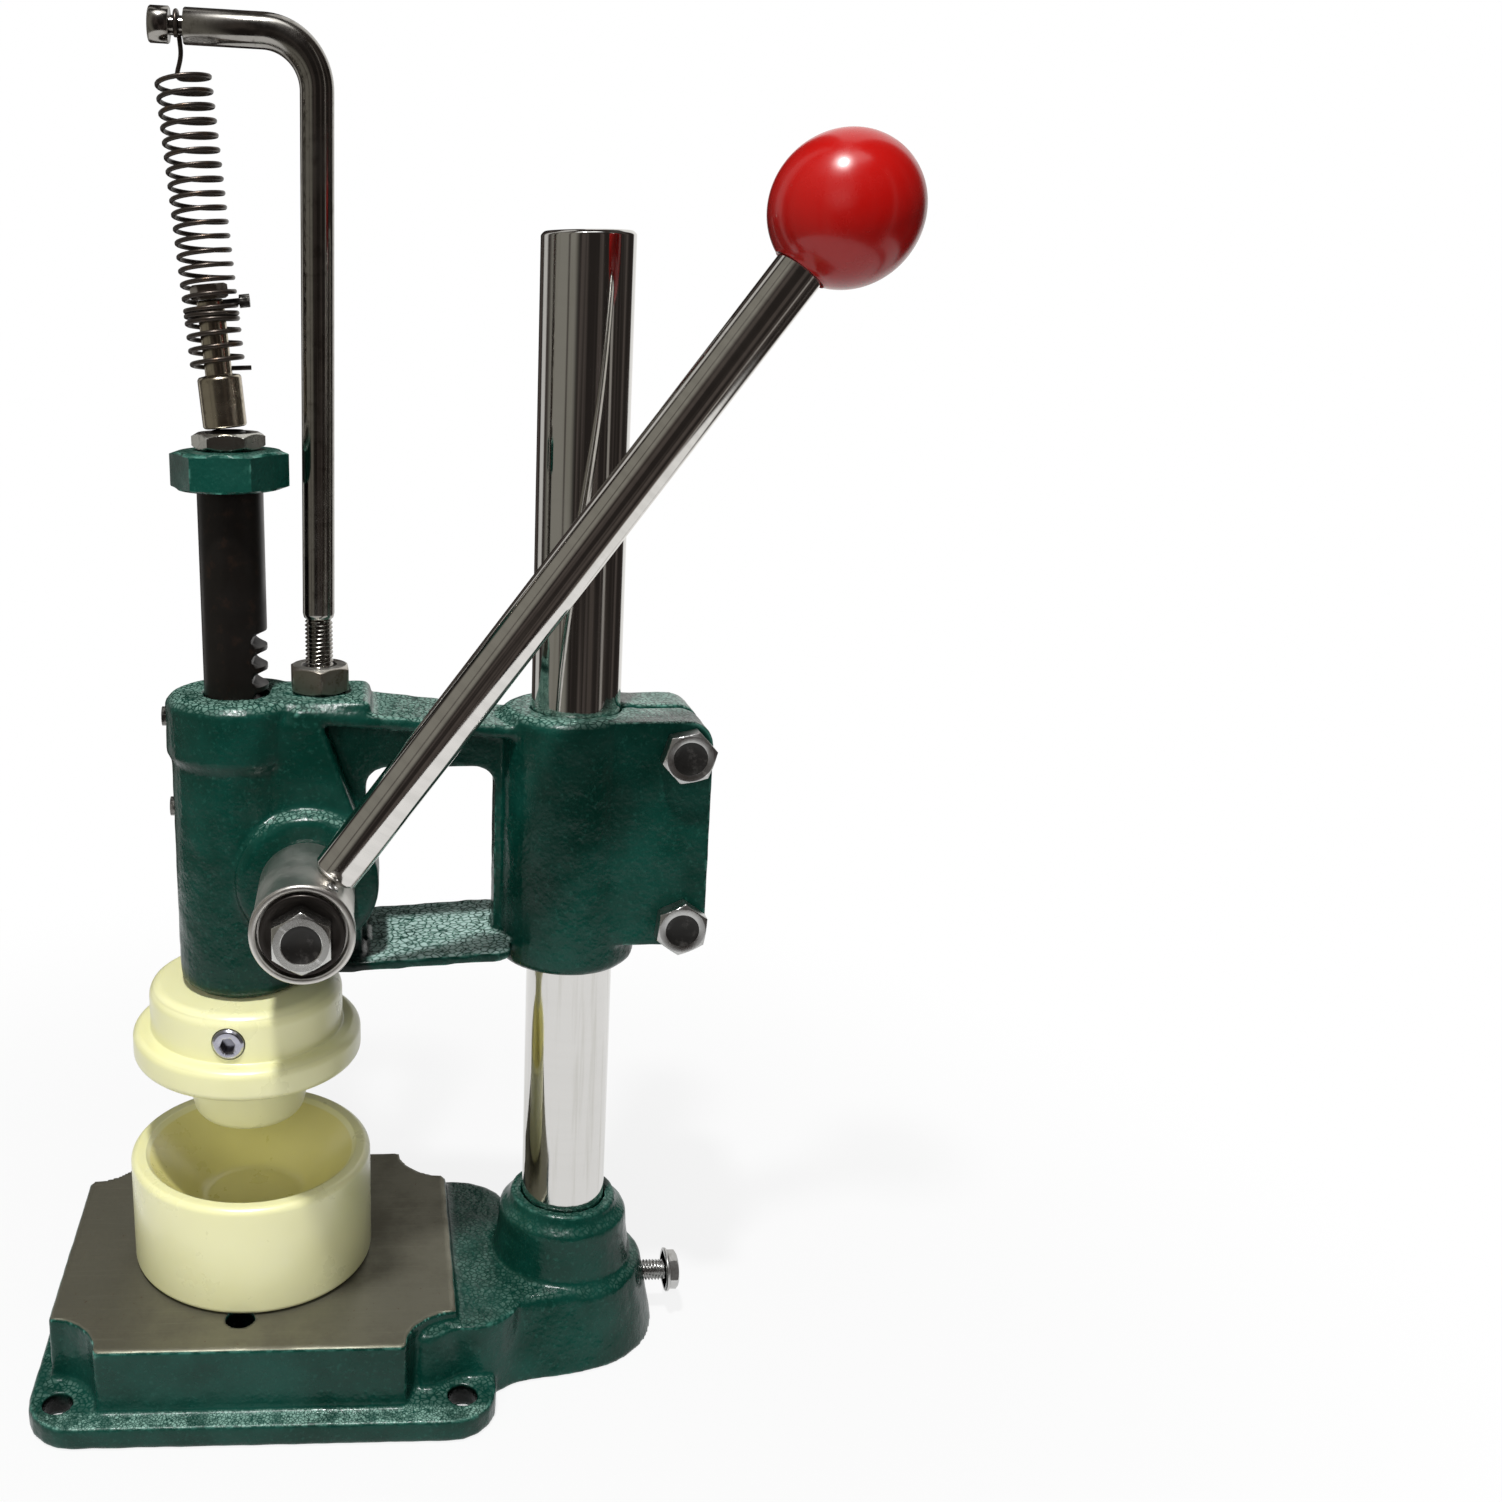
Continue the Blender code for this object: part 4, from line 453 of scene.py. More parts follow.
paintLook = {
    "deep": (0.0008, 0.024, 0.016), "pale": (0.0035, 0.047, 0.034), "fleck": (0.016, 0.085, 0.064),
    "grimeAndShade": (0.0008, 0.003, 0.0025), "edge": (0.085, 0.260, 0.205), "sky": (0.30, 0.50, 0.42),
    "shelfReflection": (0.36, 0.50, 0.46), "iron": (0.16, 0.15, 0.13), "hole": (0.0008, 0.0016, 0.0012),
    "lump": 0.70, "grain": 0.16, "depth": 0.6 * mm, "bump": 0.9, "smooth": 0.22, "rough": 0.38, "gloss": 0.24,
    # heights of the head's shelf under its window, and where along it the painted reflection gives way to a
    # painted shadow of the boss and hub
    "shelf": (162.0 * mm, 171.0 * mm), "shelfShadowEdge": (45.0 * mm, 48.5 * mm), "shelfStart": 30.0 * mm,
    "ledge": (7.6 * mm, 10.5 * mm), "ledgeFront": (63.0 * mm, 66.0 * mm),
    # the base's open holes, painted near black inside as shade: place across and along, radius
    "bores": [(47.4, -2, 5.3), (58.7, -68, 5.5), (-58.7, -68, 5.5), (58.7, 79.2, 5.5), (-58.7, 79.2, 5.5)],
    "planed": (0.185, 0.178, 0.135), "stained": (0.125, 0.118, 0.088), "lines": (0.25, 0.245, 0.19),
    "rust": (0.11, 0.055, 0.028), "planedHeight": 34.5 * mm, "planedMetal": 0.75,
}


def makePaint(name, planed=False, shelfLightAndShadow=False, topLightAmount=0.16, patchLow=0.38, patchHigh=0.62):
    # glossy green enamel over the cast skin, with painted highlights and painted shade in its colour
    paint = paintLook
    shader, place = newLook(name)
    skin = useEffect("cast", place, Lump_Depth=paint["lump"], Grain_Depth=paint["grain"])
    layers = [
        (rangeNode(skin["Clouds"], 0.35, 0.7), paint["pale"]),
        (times(skin["Flecks"], 0.35), paint["fleck"]),
        # inner corners darkened: dirt and painted shade
        (maskOf("crevice", place, Start=0.47, Full=0.40, Amount=0.8), paint["grimeAndShade"]),
        # outer edges painted a paler green: a painted highlight along the edges
        (maskOf("wear", place, Noise_Scale=260.0, Start=0.520, Full=0.568, Amount=0.85), paint["edge"]),
        # pale specks on faces that point up: a painted highlight of the light overhead
        (maskOf("sky", place, Amount=topLightAmount, Patch_Low=patchLow, Patch_High=patchHigh), paint["sky"]),
    ]
    if shelfLightAndShadow:
        # the shelf's light is painted: pale specks as a painted reflection of the light overhead, and near the
        # boss a painted shadow of the boss and hub
        low, high = paint["shelf"]
        shelf = maskOf("band", place, Low=low, High=high, Edge=1.5 * mm)
        rings = maskOf("sky", place, Amount=1.0, Scale=400.0, Patch_Low=0.30, Patch_High=0.46)
        along = axisOf(place, "Y")
        shelfLit = rangeNode(along, *paint["shelfShadowEdge"])
        behind = mathNode("GREATER_THAN", along, paint["shelfStart"])
        hubShadow = times(shelf, mathNode("SUBTRACT", 0.9, shelfLit, True), behind)
        layers += [(times(shelf, rings, shelfLit), paint["shelfReflection"]), (hubShadow, paint["grimeAndShade"])]
    chips = maskOf("wear", place, Noise_Scale=140.0, Start=0.62, Full=0.70, Amount=0.4)
    colour = layered(paint["deep"], layers + [(chips, paint["iron"])])
    roughness = useEffect("smudge", place, Scale=45.0, Low=paint["smooth"], High=paint["rough"])["Roughness"]
    metal, height = 0.0, skin["Height"]
    if planed:
        bare = maskOf("level", place, Height=paint["planedHeight"], Reach=0.7 * mm)
        steel, steelRough, marks = planedFace(place)
        colour = mixColour(bare, colour, steel)
        roughness = mixValue(bare, roughness, steelRough)
        metal = times(bare, paint["planedMetal"])
        height = mixValue(bare, height, marks)
        # the foot's front ledge, its specks paler: a painted highlight of the light overhead
        low, high = paint["ledge"]
        ledge = maskOf("band", place, Low=low, High=high, Edge=0.6 * mm)
        ledgeHighlight = maskOf("sky", place, Amount=0.60, Scale=900.0, Patch_Low=0.40, Patch_High=0.56)
        front = rangeNode(axisOf(place, "X"), *paint["ledgeFront"])
        colour = mixColour(times(ledge, ledgeHighlight, front), colour, paint["sky"])
        # each open hole is painted near black inside: painted shade
        for across, along, radius in paint["bores"]:
            hole = maskOf("bore", place, Centre=(across * mm, along * mm, 0), Radius=radius * mm)
            colour = mixColour(hole, colour, paint["hole"])
    feed(shader, Base_Color=colour, Roughness=roughness, Metallic=metal, Specular_IOR_Level=paint["gloss"])
    setBump(shader, height, paint["bump"], paint["depth"])


def planedFace(place):
    # planed iron: parallel tool lines, brown stains and a few rust freckles
    lines = noiseNode(mapped(place, Scale=(1.0, 0.03, 1.0)), 900.0, 3.0, 0.7)
    stain = rangeNode(noiseNode(place, 34.0, 5.0, 0.65), 0.36, 0.72)
    steel = layered(paintLook["planed"], [
        (stain, paintLook["stained"]), (rangeNode(lines, 0.5, 0.8, 0.0, 0.35), paintLook["lines"]),
        (rangeNode(noiseNode(place, 420.0, 3.0, 0.7), 0.66, 0.74, 0.0, 0.7), paintLook["rust"]),
    ])
    return steel, between(stain, 0.40, 0.60), times(lines, 0.05)


def makeMetal(name, colour, low, high, centre=None, axis=None, rings=0.0, wearTo=None, metallic=1.0,
              dirt=(0.05, 0.04, 0.03), dirtAndShadeAmount=0.5, spots=None, bands=0.35, topHighlight=None, gloss=0.5,
              reflectionStreaks=0.0, reflectionStreakColour=(0.42, 0.41, 0.36)):
    # plated or bare metal: turning marks, spots as (share, colour), streaks painted as reflections, dirt and
    # painted shade in corners, bright edges, a painted highlight on top faces
    shader, place = newLook(name, centre, axis)
    marks = useEffect("turning", place)
    layers = [(rangeNode(marks["Broad"], 0.35, 0.7, 0.0, bands), scaled(colour, 0.72))]
    if spots:
        layers.append((rangeNode(noiseNode(place, 210.0, 5.0, 0.7), 0.52, 0.68, 0.0, spots[0]), spots[1]))
    if reflectionStreaks:
        # lengthwise streaks painted into the colour: a painted reflection
        run = noiseNode(mapped(place, Scale=(1.0, 1.0, 0.045)), 240.0, 3.0, 0.6)
        layers.append((rangeNode(run, 0.48, 0.70, 0.0, reflectionStreaks), reflectionStreakColour))
    # inner corners darkened: dirt and painted shade
    layers.append((maskOf("crevice", place, Amount=dirtAndShadeAmount), dirt))
    if wearTo:
        layers.append((maskOf("wear", place, Noise_Scale=300.0, Start=0.52, Full=0.58, Amount=0.8), wearTo))
    if topHighlight:
        # faces that point up made paler: a painted highlight of the light overhead
        layers.append((useEffect("sky", place, Start=0.80, Full=0.97)["Upward"], topHighlight))
    feed(shader, Base_Color=layered(colour, layers), Metallic=metallic, Specular_IOR_Level=gloss,
         Roughness=useEffect("smudge", place, Scale=38.0, Low=low, High=high)["Roughness"])
    if rings:
        setBump(shader, marks["Rings"], rings, 0.05 * mm)


def makePlastic(name, colour, shadow, low, high, centre, coat, coatRough=0.06, rings=0.15, scatter=0.0,
                scatterReach=(2, 2, 1), gloss=0.5, corners=0.35, hollowShade=None, hollowRadius=0.0):
    # turned plastic: faint clouds, tool rings, painted shade in corners, a deeper and yellower painted shade
    # in its hollow
    shader, place = newLook(name, centre)
    layers = [(rangeNode(noiseNode(place, 26.0, 2.0), 0.25, 0.80, 0.0, 0.5), shadow),
              # inner corners darkened: painted shade
              (maskOf("crevice", place, Amount=corners), scaled(shadow, 0.45))]
    if hollowShade:
        # inside the bowl a deeper, yellower tone: painted shade
        layers.append((maskOf("bore", place, Radius=hollowRadius * mm), hollowShade))
    feed(shader, Base_Color=layered(colour, layers), Coat_Weight=coat, Coat_Roughness=coatRough,
         Subsurface_Weight=scatter, Subsurface_Radius=tuple(value * mm for value in scatterReach),
         Subsurface_Scale=1.0, Specular_IOR_Level=gloss,
         Roughness=useEffect("smudge", place, Scale=50.0, Low=low, High=high)["Roughness"])
    setBump(shader, useEffect("turning", place, Scale=1800.0)["Rings"], rings, 0.04 * mm)


columnPlace, pinionAxis, leverFoot, springFoot = (0, 122, 0), (0, 25, 196), (53, 25, 196), (0, 0, 343.0)
leverAngle = math.radians(36.6)
leverAxis = (0, math.sin(leverAngle), math.cos(leverAngle))
springLean = math.radians(5.1)
springAxis = (0, -math.sin(springLean), math.cos(springLean))
onPinion = {"centre": pinionAxis, "axis": (1, 0, 0)}

makePaint("greenPaint")
makePaint("greenPaintHead", False, True, 0.48, 0.32, 0.54)
makePaint("greenPaintMachined", True)
makeMetal("columnChrome", (0.66, 0.65, 0.63), 0.05, 0.12, columnPlace, dirtAndShadeAmount=0.2, bands=0.06,
          reflectionStreaks=0.35)
makeMetal("forgedDish", (0.016, 0.015, 0.014), 0.35, 0.5, metallic=0.5,
          spots=(0.5, (0.09, 0.085, 0.08)))
makeMetal("leverChrome", (0.70, 0.68, 0.65), 0.06, 0.13, leverFoot, leverAxis, 0.1)
makeMetal("armChrome", (0.34, 0.325, 0.30), 0.12, 0.24, (0, 30, 0), spots=(0.5, (0.10, 0.085, 0.07)))
makeMetal("zincPlate", (0.52, 0.52, 0.51), 0.24, 0.40, spots=(0.4, (0.25, 0.23, 0.20)),
          wearTo=(0.85, 0.85, 0.83))
makeMetal("turnedHubSteel", (0.74, 0.72, 0.68), 0.32, 0.46, rings=0.6, wearTo=(0.9, 0.9, 0.88), **onPinion)
makeMetal("hubBoltSteel", (0.60, 0.60, 0.58), 0.20, 0.34, rings=0.3, wearTo=(0.95, 0.95, 0.93),
          dirtAndShadeAmount=0.9, **onPinion)
makeMetal("darkWasher", (0.035, 0.030, 0.027), 0.35, 0.5, rings=0.5, metallic=0.8, wearTo=(0.35, 0.33, 0.30),
          **onPinion)
makeMetal("oiledRam", (0.0075, 0.0060, 0.0050), 0.30, 0.48, (0, 0, 0), (0, 0, 1), 0.25, metallic=0.25,
          spots=(0.6, (0.020, 0.011, 0.007)), gloss=0.3)
makeMetal("postSteel", (0.46, 0.41, 0.32), 0.16, 0.32, springFoot, springAxis, 0.3, (0.65, 0.60, 0.50),
          spots=(0.5, (0.10, 0.07, 0.04)))
makeMetal("springWire", (0.055, 0.045, 0.038), 0.28, 0.45, metallic=0.8,
          spots=(0.5, (0.11, 0.065, 0.035)))
makeMetal("armNutSteel", (0.30, 0.27, 0.23), 0.25, 0.42, (0, 30, 0), (0, 0, 1), 0.3, (0.85, 0.82, 0.75),
          spots=(0.6, (0.09, 0.06, 0.035)), topHighlight=(0.86, 0.85, 0.80))
makeMetal("lockNutSteel", (0.52, 0.515, 0.47), 0.22, 0.36, spots=(0.4, (0.07, 0.06, 0.05)),
          wearTo=(0.8, 0.8, 0.77), topHighlight=(0.70, 0.69, 0.65))
makeMetal("dieScrewSteel", (0.46, 0.46, 0.53), 0.14, 0.26, wearTo=(0.92, 0.92, 0.94), dirt=(0.01, 0.01, 0.02),
          dirtAndShadeAmount=1.0)
makeMetal("bearingBronze", (0.45, 0.28, 0.12), 0.28, 0.42, rings=0.5, **onPinion)
makeMetal("blackScrew", (0.03, 0.028, 0.026), 0.3, 0.45, metallic=0.7, wearTo=(0.3, 0.29, 0.27))
ivory = {"colour": (0.74, 0.725, 0.42), "shadow": (0.67, 0.65, 0.31), "low": 0.27, "high": 0.32,
         "centre": (0, 0, 0), "gloss": 0.75, "scatter": 0.12, "scatterReach": (3.0, 2.6, 1.2), "coat": 0.35,
         "coatRough": 0.42, "corners": 0.10}
makePlastic("ivoryPlastic", **ivory)
makePlastic("ivoryCup", hollowShade=(0.66, 0.61, 0.22), hollowRadius=39.0, **ivory)
makePlastic("redBall", (0.34, 0.003, 0.002), (0.29, 0.003, 0.002), 0.18, 0.30, (53, 192, 421), 0.12,
            rings=0.0, gloss=0.4)
print("looks made:", len(looks))


# the two castings

castShape = {
    "voxel": 1.08 * mm,        # size of the mesh that rounds the casting's edges
    "smoothing": 3, "wobble": 0.40 * mm, "wobbleSize": 8 * mm,     # how far the sand mould left it from true
    "flat": 34.5 * mm, "flatX": 64 * mm, "flatY": (-71.5 * mm, 77 * mm), "flatReach": 0.8 * mm,
}

linkShape = {
    # half outlines of the base's link and lobe, from inside the table round to the middle of the far end
    "top": [(47.0, 60), (47.6, 80), (46.6, 89), (42.0, 95), (36.4, 100), (32.6, 109), (30.4, 121),
            (26.6, 134), (18.2, 146.5), (9.0, 151.6), (0, 153.2)],
    "foot": [(49.0, 60), (50.0, 80), (50.0, 89), (46.6, 95), (43.2, 101), (41.2, 110), (38.6, 124),
             (33.6, 138), (24.0, 149.6), (12.0, 156.2), (0, 158.5)],
    "height": 30.0, "middle": (0, 112), "steps": 7,
    # share of the way from foot to top, share of the outline's size, and the height's share, row by row
    "rows": [(0.0, 0.0, 0.0), (0.0, 0.97, 0.0), (0.0, 1.0, 0.03), (0.5, 1.0, 0.5), (0.93, 1.0, 0.92),
             (1.0, 0.985, 0.975), (1.0, 0.94, 1.0), (1.0, 0.0, 1.0)],
}

socketRings = {
    "inner": [(16.3, 48), (16.3, 56.2), (19.8, 56.2), (20.7, 55.2), (20.9, 48)],
    "outer": [(22.4, 44), (22.4, 50.6), (23.8, 50.6), (24.8, 49.6), (25.1, 44)],
}


def roundedOutline(half, steps):
    # Catmull-Rom curve through the half outline and its mirror image, closed
    half = np.array(half, float)
    ring = np.vstack([half, half[-2::-1] * (-1, 1)])
    t = (np.arange(steps) / steps)[None, :, None]
    a, b, c, d = (np.roll(ring, shift, 0)[:, None] for shift in (1, 0, -1, -2))
    square, cube = 2 * a - 5 * b + 4 * c - d, 3 * b - a - 3 * c + d
    return (0.5 * (2 * b + (c - a) * t + square * t ** 2 + cube * t ** 3)).reshape(-1, 2)


def linkRows(shape):
    # each row lies between the two outlines, drawn in towards the middle by its share of the size
    top, foot = roundedOutline(shape["top"], shape["steps"]), roundedOutline(shape["foot"], shape["steps"])
    middle = np.array(shape["middle"], float)
    rows = []
    for share, size, rise in shape["rows"]:
        line = middle + (foot + (top - foot) * share - middle) * size
        rows.append(np.hstack([line, np.full((len(line), 1), shape["height"] * rise)]))
    return np.array(rows) * mm


def finishedMesh(rough, *others):
    # the mesh that a rough object's modifiers leave; the rough objects go
    bpy.context.view_layer.update()
    mesh = bpy.data.meshes.new_from_object(rough.evaluated_get(bpy.context.evaluated_depsgraph_get()))
    for thing in (rough, *others):
        bpy.data.objects.remove(thing, do_unlink=True)
    return mesh


def makeCasting(node, look, body, planed=False, added=()):
    # the CAD solid and any added mass, remeshed on a fine grid, edges softened and skin made slightly uneven
    shape = castShape
    rough = addObject(node + "Rough", mergedCopy(node, added))
    setAll(rough.modifiers.new("Remesh", "REMESH"), mode="VOXEL", voxel_size=shape["voxel"])
    setAll(rough.modifiers.new("Soften", "SMOOTH"), iterations=shape["smoothing"])
    clouds = bpy.data.textures.new(node + "Clouds", "CLOUDS")
    setAll(clouds, noise_scale=shape["wobbleSize"], noise_depth=1)
    wobble = rough.modifiers.new("Wobble", "DISPLACE")
    setAll(wobble, texture=clouds, texture_coords="LOCAL", strength=shape["wobble"])
    finished = finishedMesh(rough)
    points = np.zeros(len(finished.vertices) * 3, np.float32)
    finished.vertices.foreach_get("co", points)
    points = points.reshape(-1, 3)
    if planed:
        # the planed face is put back to true height
        near = np.abs(points[:, 2] - shape["flat"]) < shape["flatReach"]
        low, high = shape["flatY"]
        inside = (np.abs(points[:, 0]) < shape["flatX"]) & (points[:, 1] > low) & (points[:, 1] < high)
        points[near & inside, 2] = shape["flat"]
    points[:, 2] = np.maximum(points[:, 2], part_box(node)[0][2])
    finished.vertices.foreach_set("co", points.reshape(-1))
    finished.update()
    dress(node + "Cast", finished, look, body, 0, [node])
    print(node, "faces:", len(finished.polygons))


added = [closedMesh("link", linkRows(linkShape))]
for corners in socketRings.values():
    rows = turnedRows(eased(corners), columnPlace, (0, 0, 1))
    added.append(weld("socketRing", [gridMesh(rows, ring=True)]))
makeCasting("base_casting", "greenPaintMachined", "frame", True, added)
makeCasting("head_casting", "greenPaintHead", "head")


# the column, its bolt and the clamp's bolts and nuts

columnShape = [(0, 417), (14.8, 417, 0.5), (16, 415.8, 0.5), (16, 6), (0, 6)]
turnedPiece("columnBar", columnShape, columnPlace, (0, 0, 1), "columnChrome", "frame", "chrome", ["column"],
            128)


def hexHead(flats, height, dish, dishDepth, chamferBelow):
    # profile of a bolt head or nut: dish, flat rim, 30 degree chamfer to past the corners, side, underside
    rim = flats / 2 * 0.955
    corner = flats / 2 / math.cos(math.pi / 6) + 0.05
    cone = [(r, (r - rim) * math.tan(math.radians(30))) for r in np.linspace(rim, corner, 9)]
    floor = height - dishDepth
    top = [(0, floor), (dish * 0.62, floor), (dish * 0.85, height - dishDepth * 0.55),
           (dish, height - dishDepth * 0.12), (dish + 0.25, height), (rim - 0.2, height)]
    slope = [(r, height - fall) for r, fall in cone]
    lower = cone[::-1] + [(rim - 0.2, 0)] if chamferBelow else [(corner, 0.25), (corner - 0.3, 0)]
    return np.array(top + slope + lower + [(0, 0)]) * mm


def hexPiece(name, origin, axis, look, body, flats, height, dish, dishDepth, thread=None, chamferBelow=False,
             turn=0.0, around=120, nodes=None):
    # a hexagonal head with its thread below it: thread = (radius, depth, pitch, top, bottom) along the axis
    profile = hexHead(flats, height, dish, dishDepth, chamferBelow)
    grids = [turnedRows(profile, origin, axis, around, flats=flats, turn=turn)]
    if thread:
        grids.append(threadRows(thread, origin, axis))
    mesh = closedMesh(name, *grids)
    dress(name, mesh, look, body, 28, nodes)
    # the dish is painted dark, a painted shade in its recess: faces over the head that lie inside the dish's
    # radius
    mesh.materials.append(looks["forgedDish"])
    middle = np.zeros(len(mesh.polygons) * 3)
    mesh.polygons.foreach_get("center", middle)
    middle = middle.reshape(-1, 3) - np.array(origin, float) * mm
    along = middle @ unit(axis)
    away = np.linalg.norm(middle - along[:, None] * unit(axis), axis=1)
    inside = (away < dish * mm) & (along > (height - dishDepth - 0.2) * mm)
    mesh.polygons.foreach_set("material_index", inside.astype(np.int32))


clampShape = {
    "along": 158.5, "half": 22.3, "heights": {"Upper": 241.5, "Lower": 177.5},
    "turns": {"Upper": math.radians(12), "Lower": math.radians(24)},
    "Bolt": {"flats": 17, "height": 6.4, "dish": 6.0, "dishDepth": 0.9, "thread": (5, 0.85, 1.5, 0.5, -54.8)},
    "Nut": {"flats": 17, "height": 8.0, "dish": 5.6, "dishDepth": 0.8, "chamferBelow": True},
}
for which, height in clampShape["heights"].items():
    for name, side in (("Bolt", 1), ("Nut", -1)):
        seat = (side * clampShape["half"], clampShape["along"], height)
        hexPiece("clamp" + name + which, seat, (side, 0, 0), "zincPlate", "head",
                 turn=side * clampShape["turns"][which], **clampShape[name])

columnBolt = {
    "place": (0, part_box("column_bolt")[1][1] / mm - 5.2, 18.5),
    "head": {"flats": 13, "height": 5.2, "dish": 4.4, "dishDepth": 0.7, "thread": (4, 0.7, 1.25, 0.5, -28)},
    "flange": [(0, 1.5), (6.6, 1.9, 0.3), (8.3, 1.2, 0.3), (8.4, 0.3, 0.2), (7.9, 0.0, 0.2), (0, 0)],
}
seat = columnBolt["place"]
hexPiece("columnBolt", seat, (0, 1, 0), "zincPlate", "frame", turn=math.pi / 6, **columnBolt["head"])
turnedPiece("columnBoltFlange", columnBolt["flange"], seat, (0, 1, 0), "zincPlate", "frame", nodes=[])
print("column, bolts and nuts made")


# the cup and the punch

cupShape = [
    (0, 56.4), (18.2, 56.4, 1.6), (20.5, 57.7, 1.6), (39.6, 77.2, 1.4), (40.6, 78.4, 0.5), (44.6, 78.4, 1.0),
    (46.2, 76.8, 1.0), (46.2, 36.2, 0.8), (44.8, 34.8, 0.6), (10, 34.8), (10, 26.8), (0, 26.8),
]
turnedPiece("dieCup", cupShape, (0, 0, 0), (0, 0, 1), "ivoryCup", "frame", "ivory_plastic", around=160)

punchShape = {
    "corners": [
        (0, 149.5), (33.4, 149.5, 2.4), (36.2, 146.4, 2.2), (36.2, 131.5, 0.7), (41.0, 131.5, 1.4),
        (43.0, 129.6, 1.4), (43.0, 121.4, 1.2), (41.2, 119.5, 1.4), (26.0, 119.5, 0.8), (20.8, 97.4, 1.4),
        (18.9, 95.5, 1.2), (0, 95.5),
    ],
    # the screw in its side and the hole for it; places are distances from the punch's axis
    "hole": [(0, 45), (6.15, 45), (6.15, 32.85), (0, 32.85)],
    "screw": [(0, 34.6), (2.5, 34.6), (2.5, 36.95), (3.25, 37.2), (4.9, 37.2, 0.3), (5.8, 36.3, 0.3),
              (5.8, 33.2), (3, 33.2), (3, 9), (0, 9)],
    "height": 139.4, "turn": math.radians(-6.2), "socketTurn": math.radians(8),
}


def makePunch(shape):
    middle, aim = (0, 0, shape["height"]), (math.cos(shape["turn"]), math.sin(shape["turn"]), 0)
    punchRows = turnedRows(eased(shape["corners"]), (0, 0, 0), (0, 0, 1), 160)
    holeRows = turnedRows(eased(shape["hole"]), middle, aim, 48)
    punch = addObject("punchRough", closedMesh("punchRough", punchRows))
    cutter = addObject("punchCutter", closedMesh("punchCutter", holeRows))
    cut = punch.modifiers.new("Screw hole", "BOOLEAN")
    setAll(cut, operation="DIFFERENCE", solver="EXACT", object=cutter)
    dress("punchDie", finishedMesh(punch, cutter), "ivoryPlastic", "ram", 30, ["punch"])
    headRows = turnedRows(eased(shape["screw"]), middle, aim, 72, turn=shape["socketTurn"], socketRows=(1, 2))
    dress("punchScrew", closedMesh("punchScrew", headRows), "dieScrewSteel", "ram", 28)


makePunch(punchShape)
print("dies made")


# the lever, its hub and shaft

leverShape = {
    "hub": [(0, 69.0), (15.0, 69.0, 0.2), (15.2, 71.6, 0.2), (15.8, 72.0, 0.2), (16.9, 72.0, 0.5),
            (17.5, 71.3, 0.5), (17.5, 67.4, 0.4), (16.8, 66.9, 0.3), (16.8, 29.4, 0.4), (16.0, 28.3, 0.4),
            (0, 28.3)],
    "washer": [(0, 70.6), (7.5, 70.6, 0.8), (11.2, 71.0, 0.8), (12.6, 71.8, 0.4), (13.8, 71.8, 0.3),
               (14.2, 71.3, 0.3), (14.2, 69.3), (0, 69.3)],
    "bolt": {"flats": 19, "height": 7.5, "dish": 6.6, "dishDepth": 1.6, "turn": math.pi / 6},
    "rod": [(0, 278.4), (7.2, 278.4, 0.3), (8.0, 277.6, 0.3), (8.0, 18.4, 0.4), (7.0, 17.2, 0.4), (5.0, 17.2),
            (5.0, 11.0), (0, 11.0)],
    "ball": 23.3, "ballReach": 280, "neck": 9.4,
    "neckLining": [(9.0, -0.35), (8.6, -0.1), (8.3, 0.6)], "boreEnd": 278.7,    # radius, height over the neck
    "grub": [(0, 15.6), (1.3, 15.6), (1.3, 16.9), (1.8, 17.3, 0.1), (2.2, 17.0, 0.1), (2.2, 12.3), (0, 12.3)],
    "collar": [(0, -28.3), (14.4, -28.3, 0.3), (15.0, -28.9, 0.3), (15.0, -33.7, 0.3), (14.4, -34.3, 0.3),
               (0, -34.3)],
    "boltPlace": (72.1, 25, 196), "grubPlace": (64, 25, 196),
}


def makeBall(shape):
    # r = R cos e, h = R sin e from the crown down to the neck, then in along the rod's socket
    radius, neck, reach = shape["ball"], shape["neck"], shape["ballReach"]
    lowest = -math.acos(neck / radius)
    rise = np.linspace(math.pi / 2, lowest, 60)
    skin = np.stack([radius * np.cos(rise), reach + radius * np.sin(rise)], axis=1)
    skin[0, 0] = 0
    floor = reach + radius * math.sin(lowest)
    inner = [(r, floor + over) for r, over in shape["neckLining"]]
    inner += [(inner[-1][0], shape["boreEnd"]), (0, shape["boreEnd"])]
    rows = turnedRows(np.vstack([skin, inner]) * mm, leverFoot, leverAxis, 120)
    dress("ballKnob", closedMesh("ballKnob", rows), "redBall", "lever")


turnedPiece("leverHub", leverShape["hub"], pinionAxis, (1, 0, 0), "turnedHubSteel", "lever", "turned_steel",
            around=128)
turnedPiece("hubWasher", leverShape["washer"], pinionAxis, (1, 0, 0), "darkWasher", "lever", "black_steel")
hexPiece("hubBolt", leverShape["boltPlace"], (1, 0, 0), "hubBoltSteel", "lever", **leverShape["bolt"])
turnedPiece("leverRod", leverShape["rod"], leverFoot, leverAxis, "leverChrome", "lever", "chrome")
makeBall(leverShape)
turnedPiece("hubGrub", leverShape["grub"], leverShape["grubPlace"], leverAxis, "zincPlate", "lever",
            nodes=["hub_grub_screw"], around=48, socketRows=(1, 2))
turnedPiece("shaftCollar", leverShape["collar"], pinionAxis, (1, 0, 0), "zincPlate", "lever")
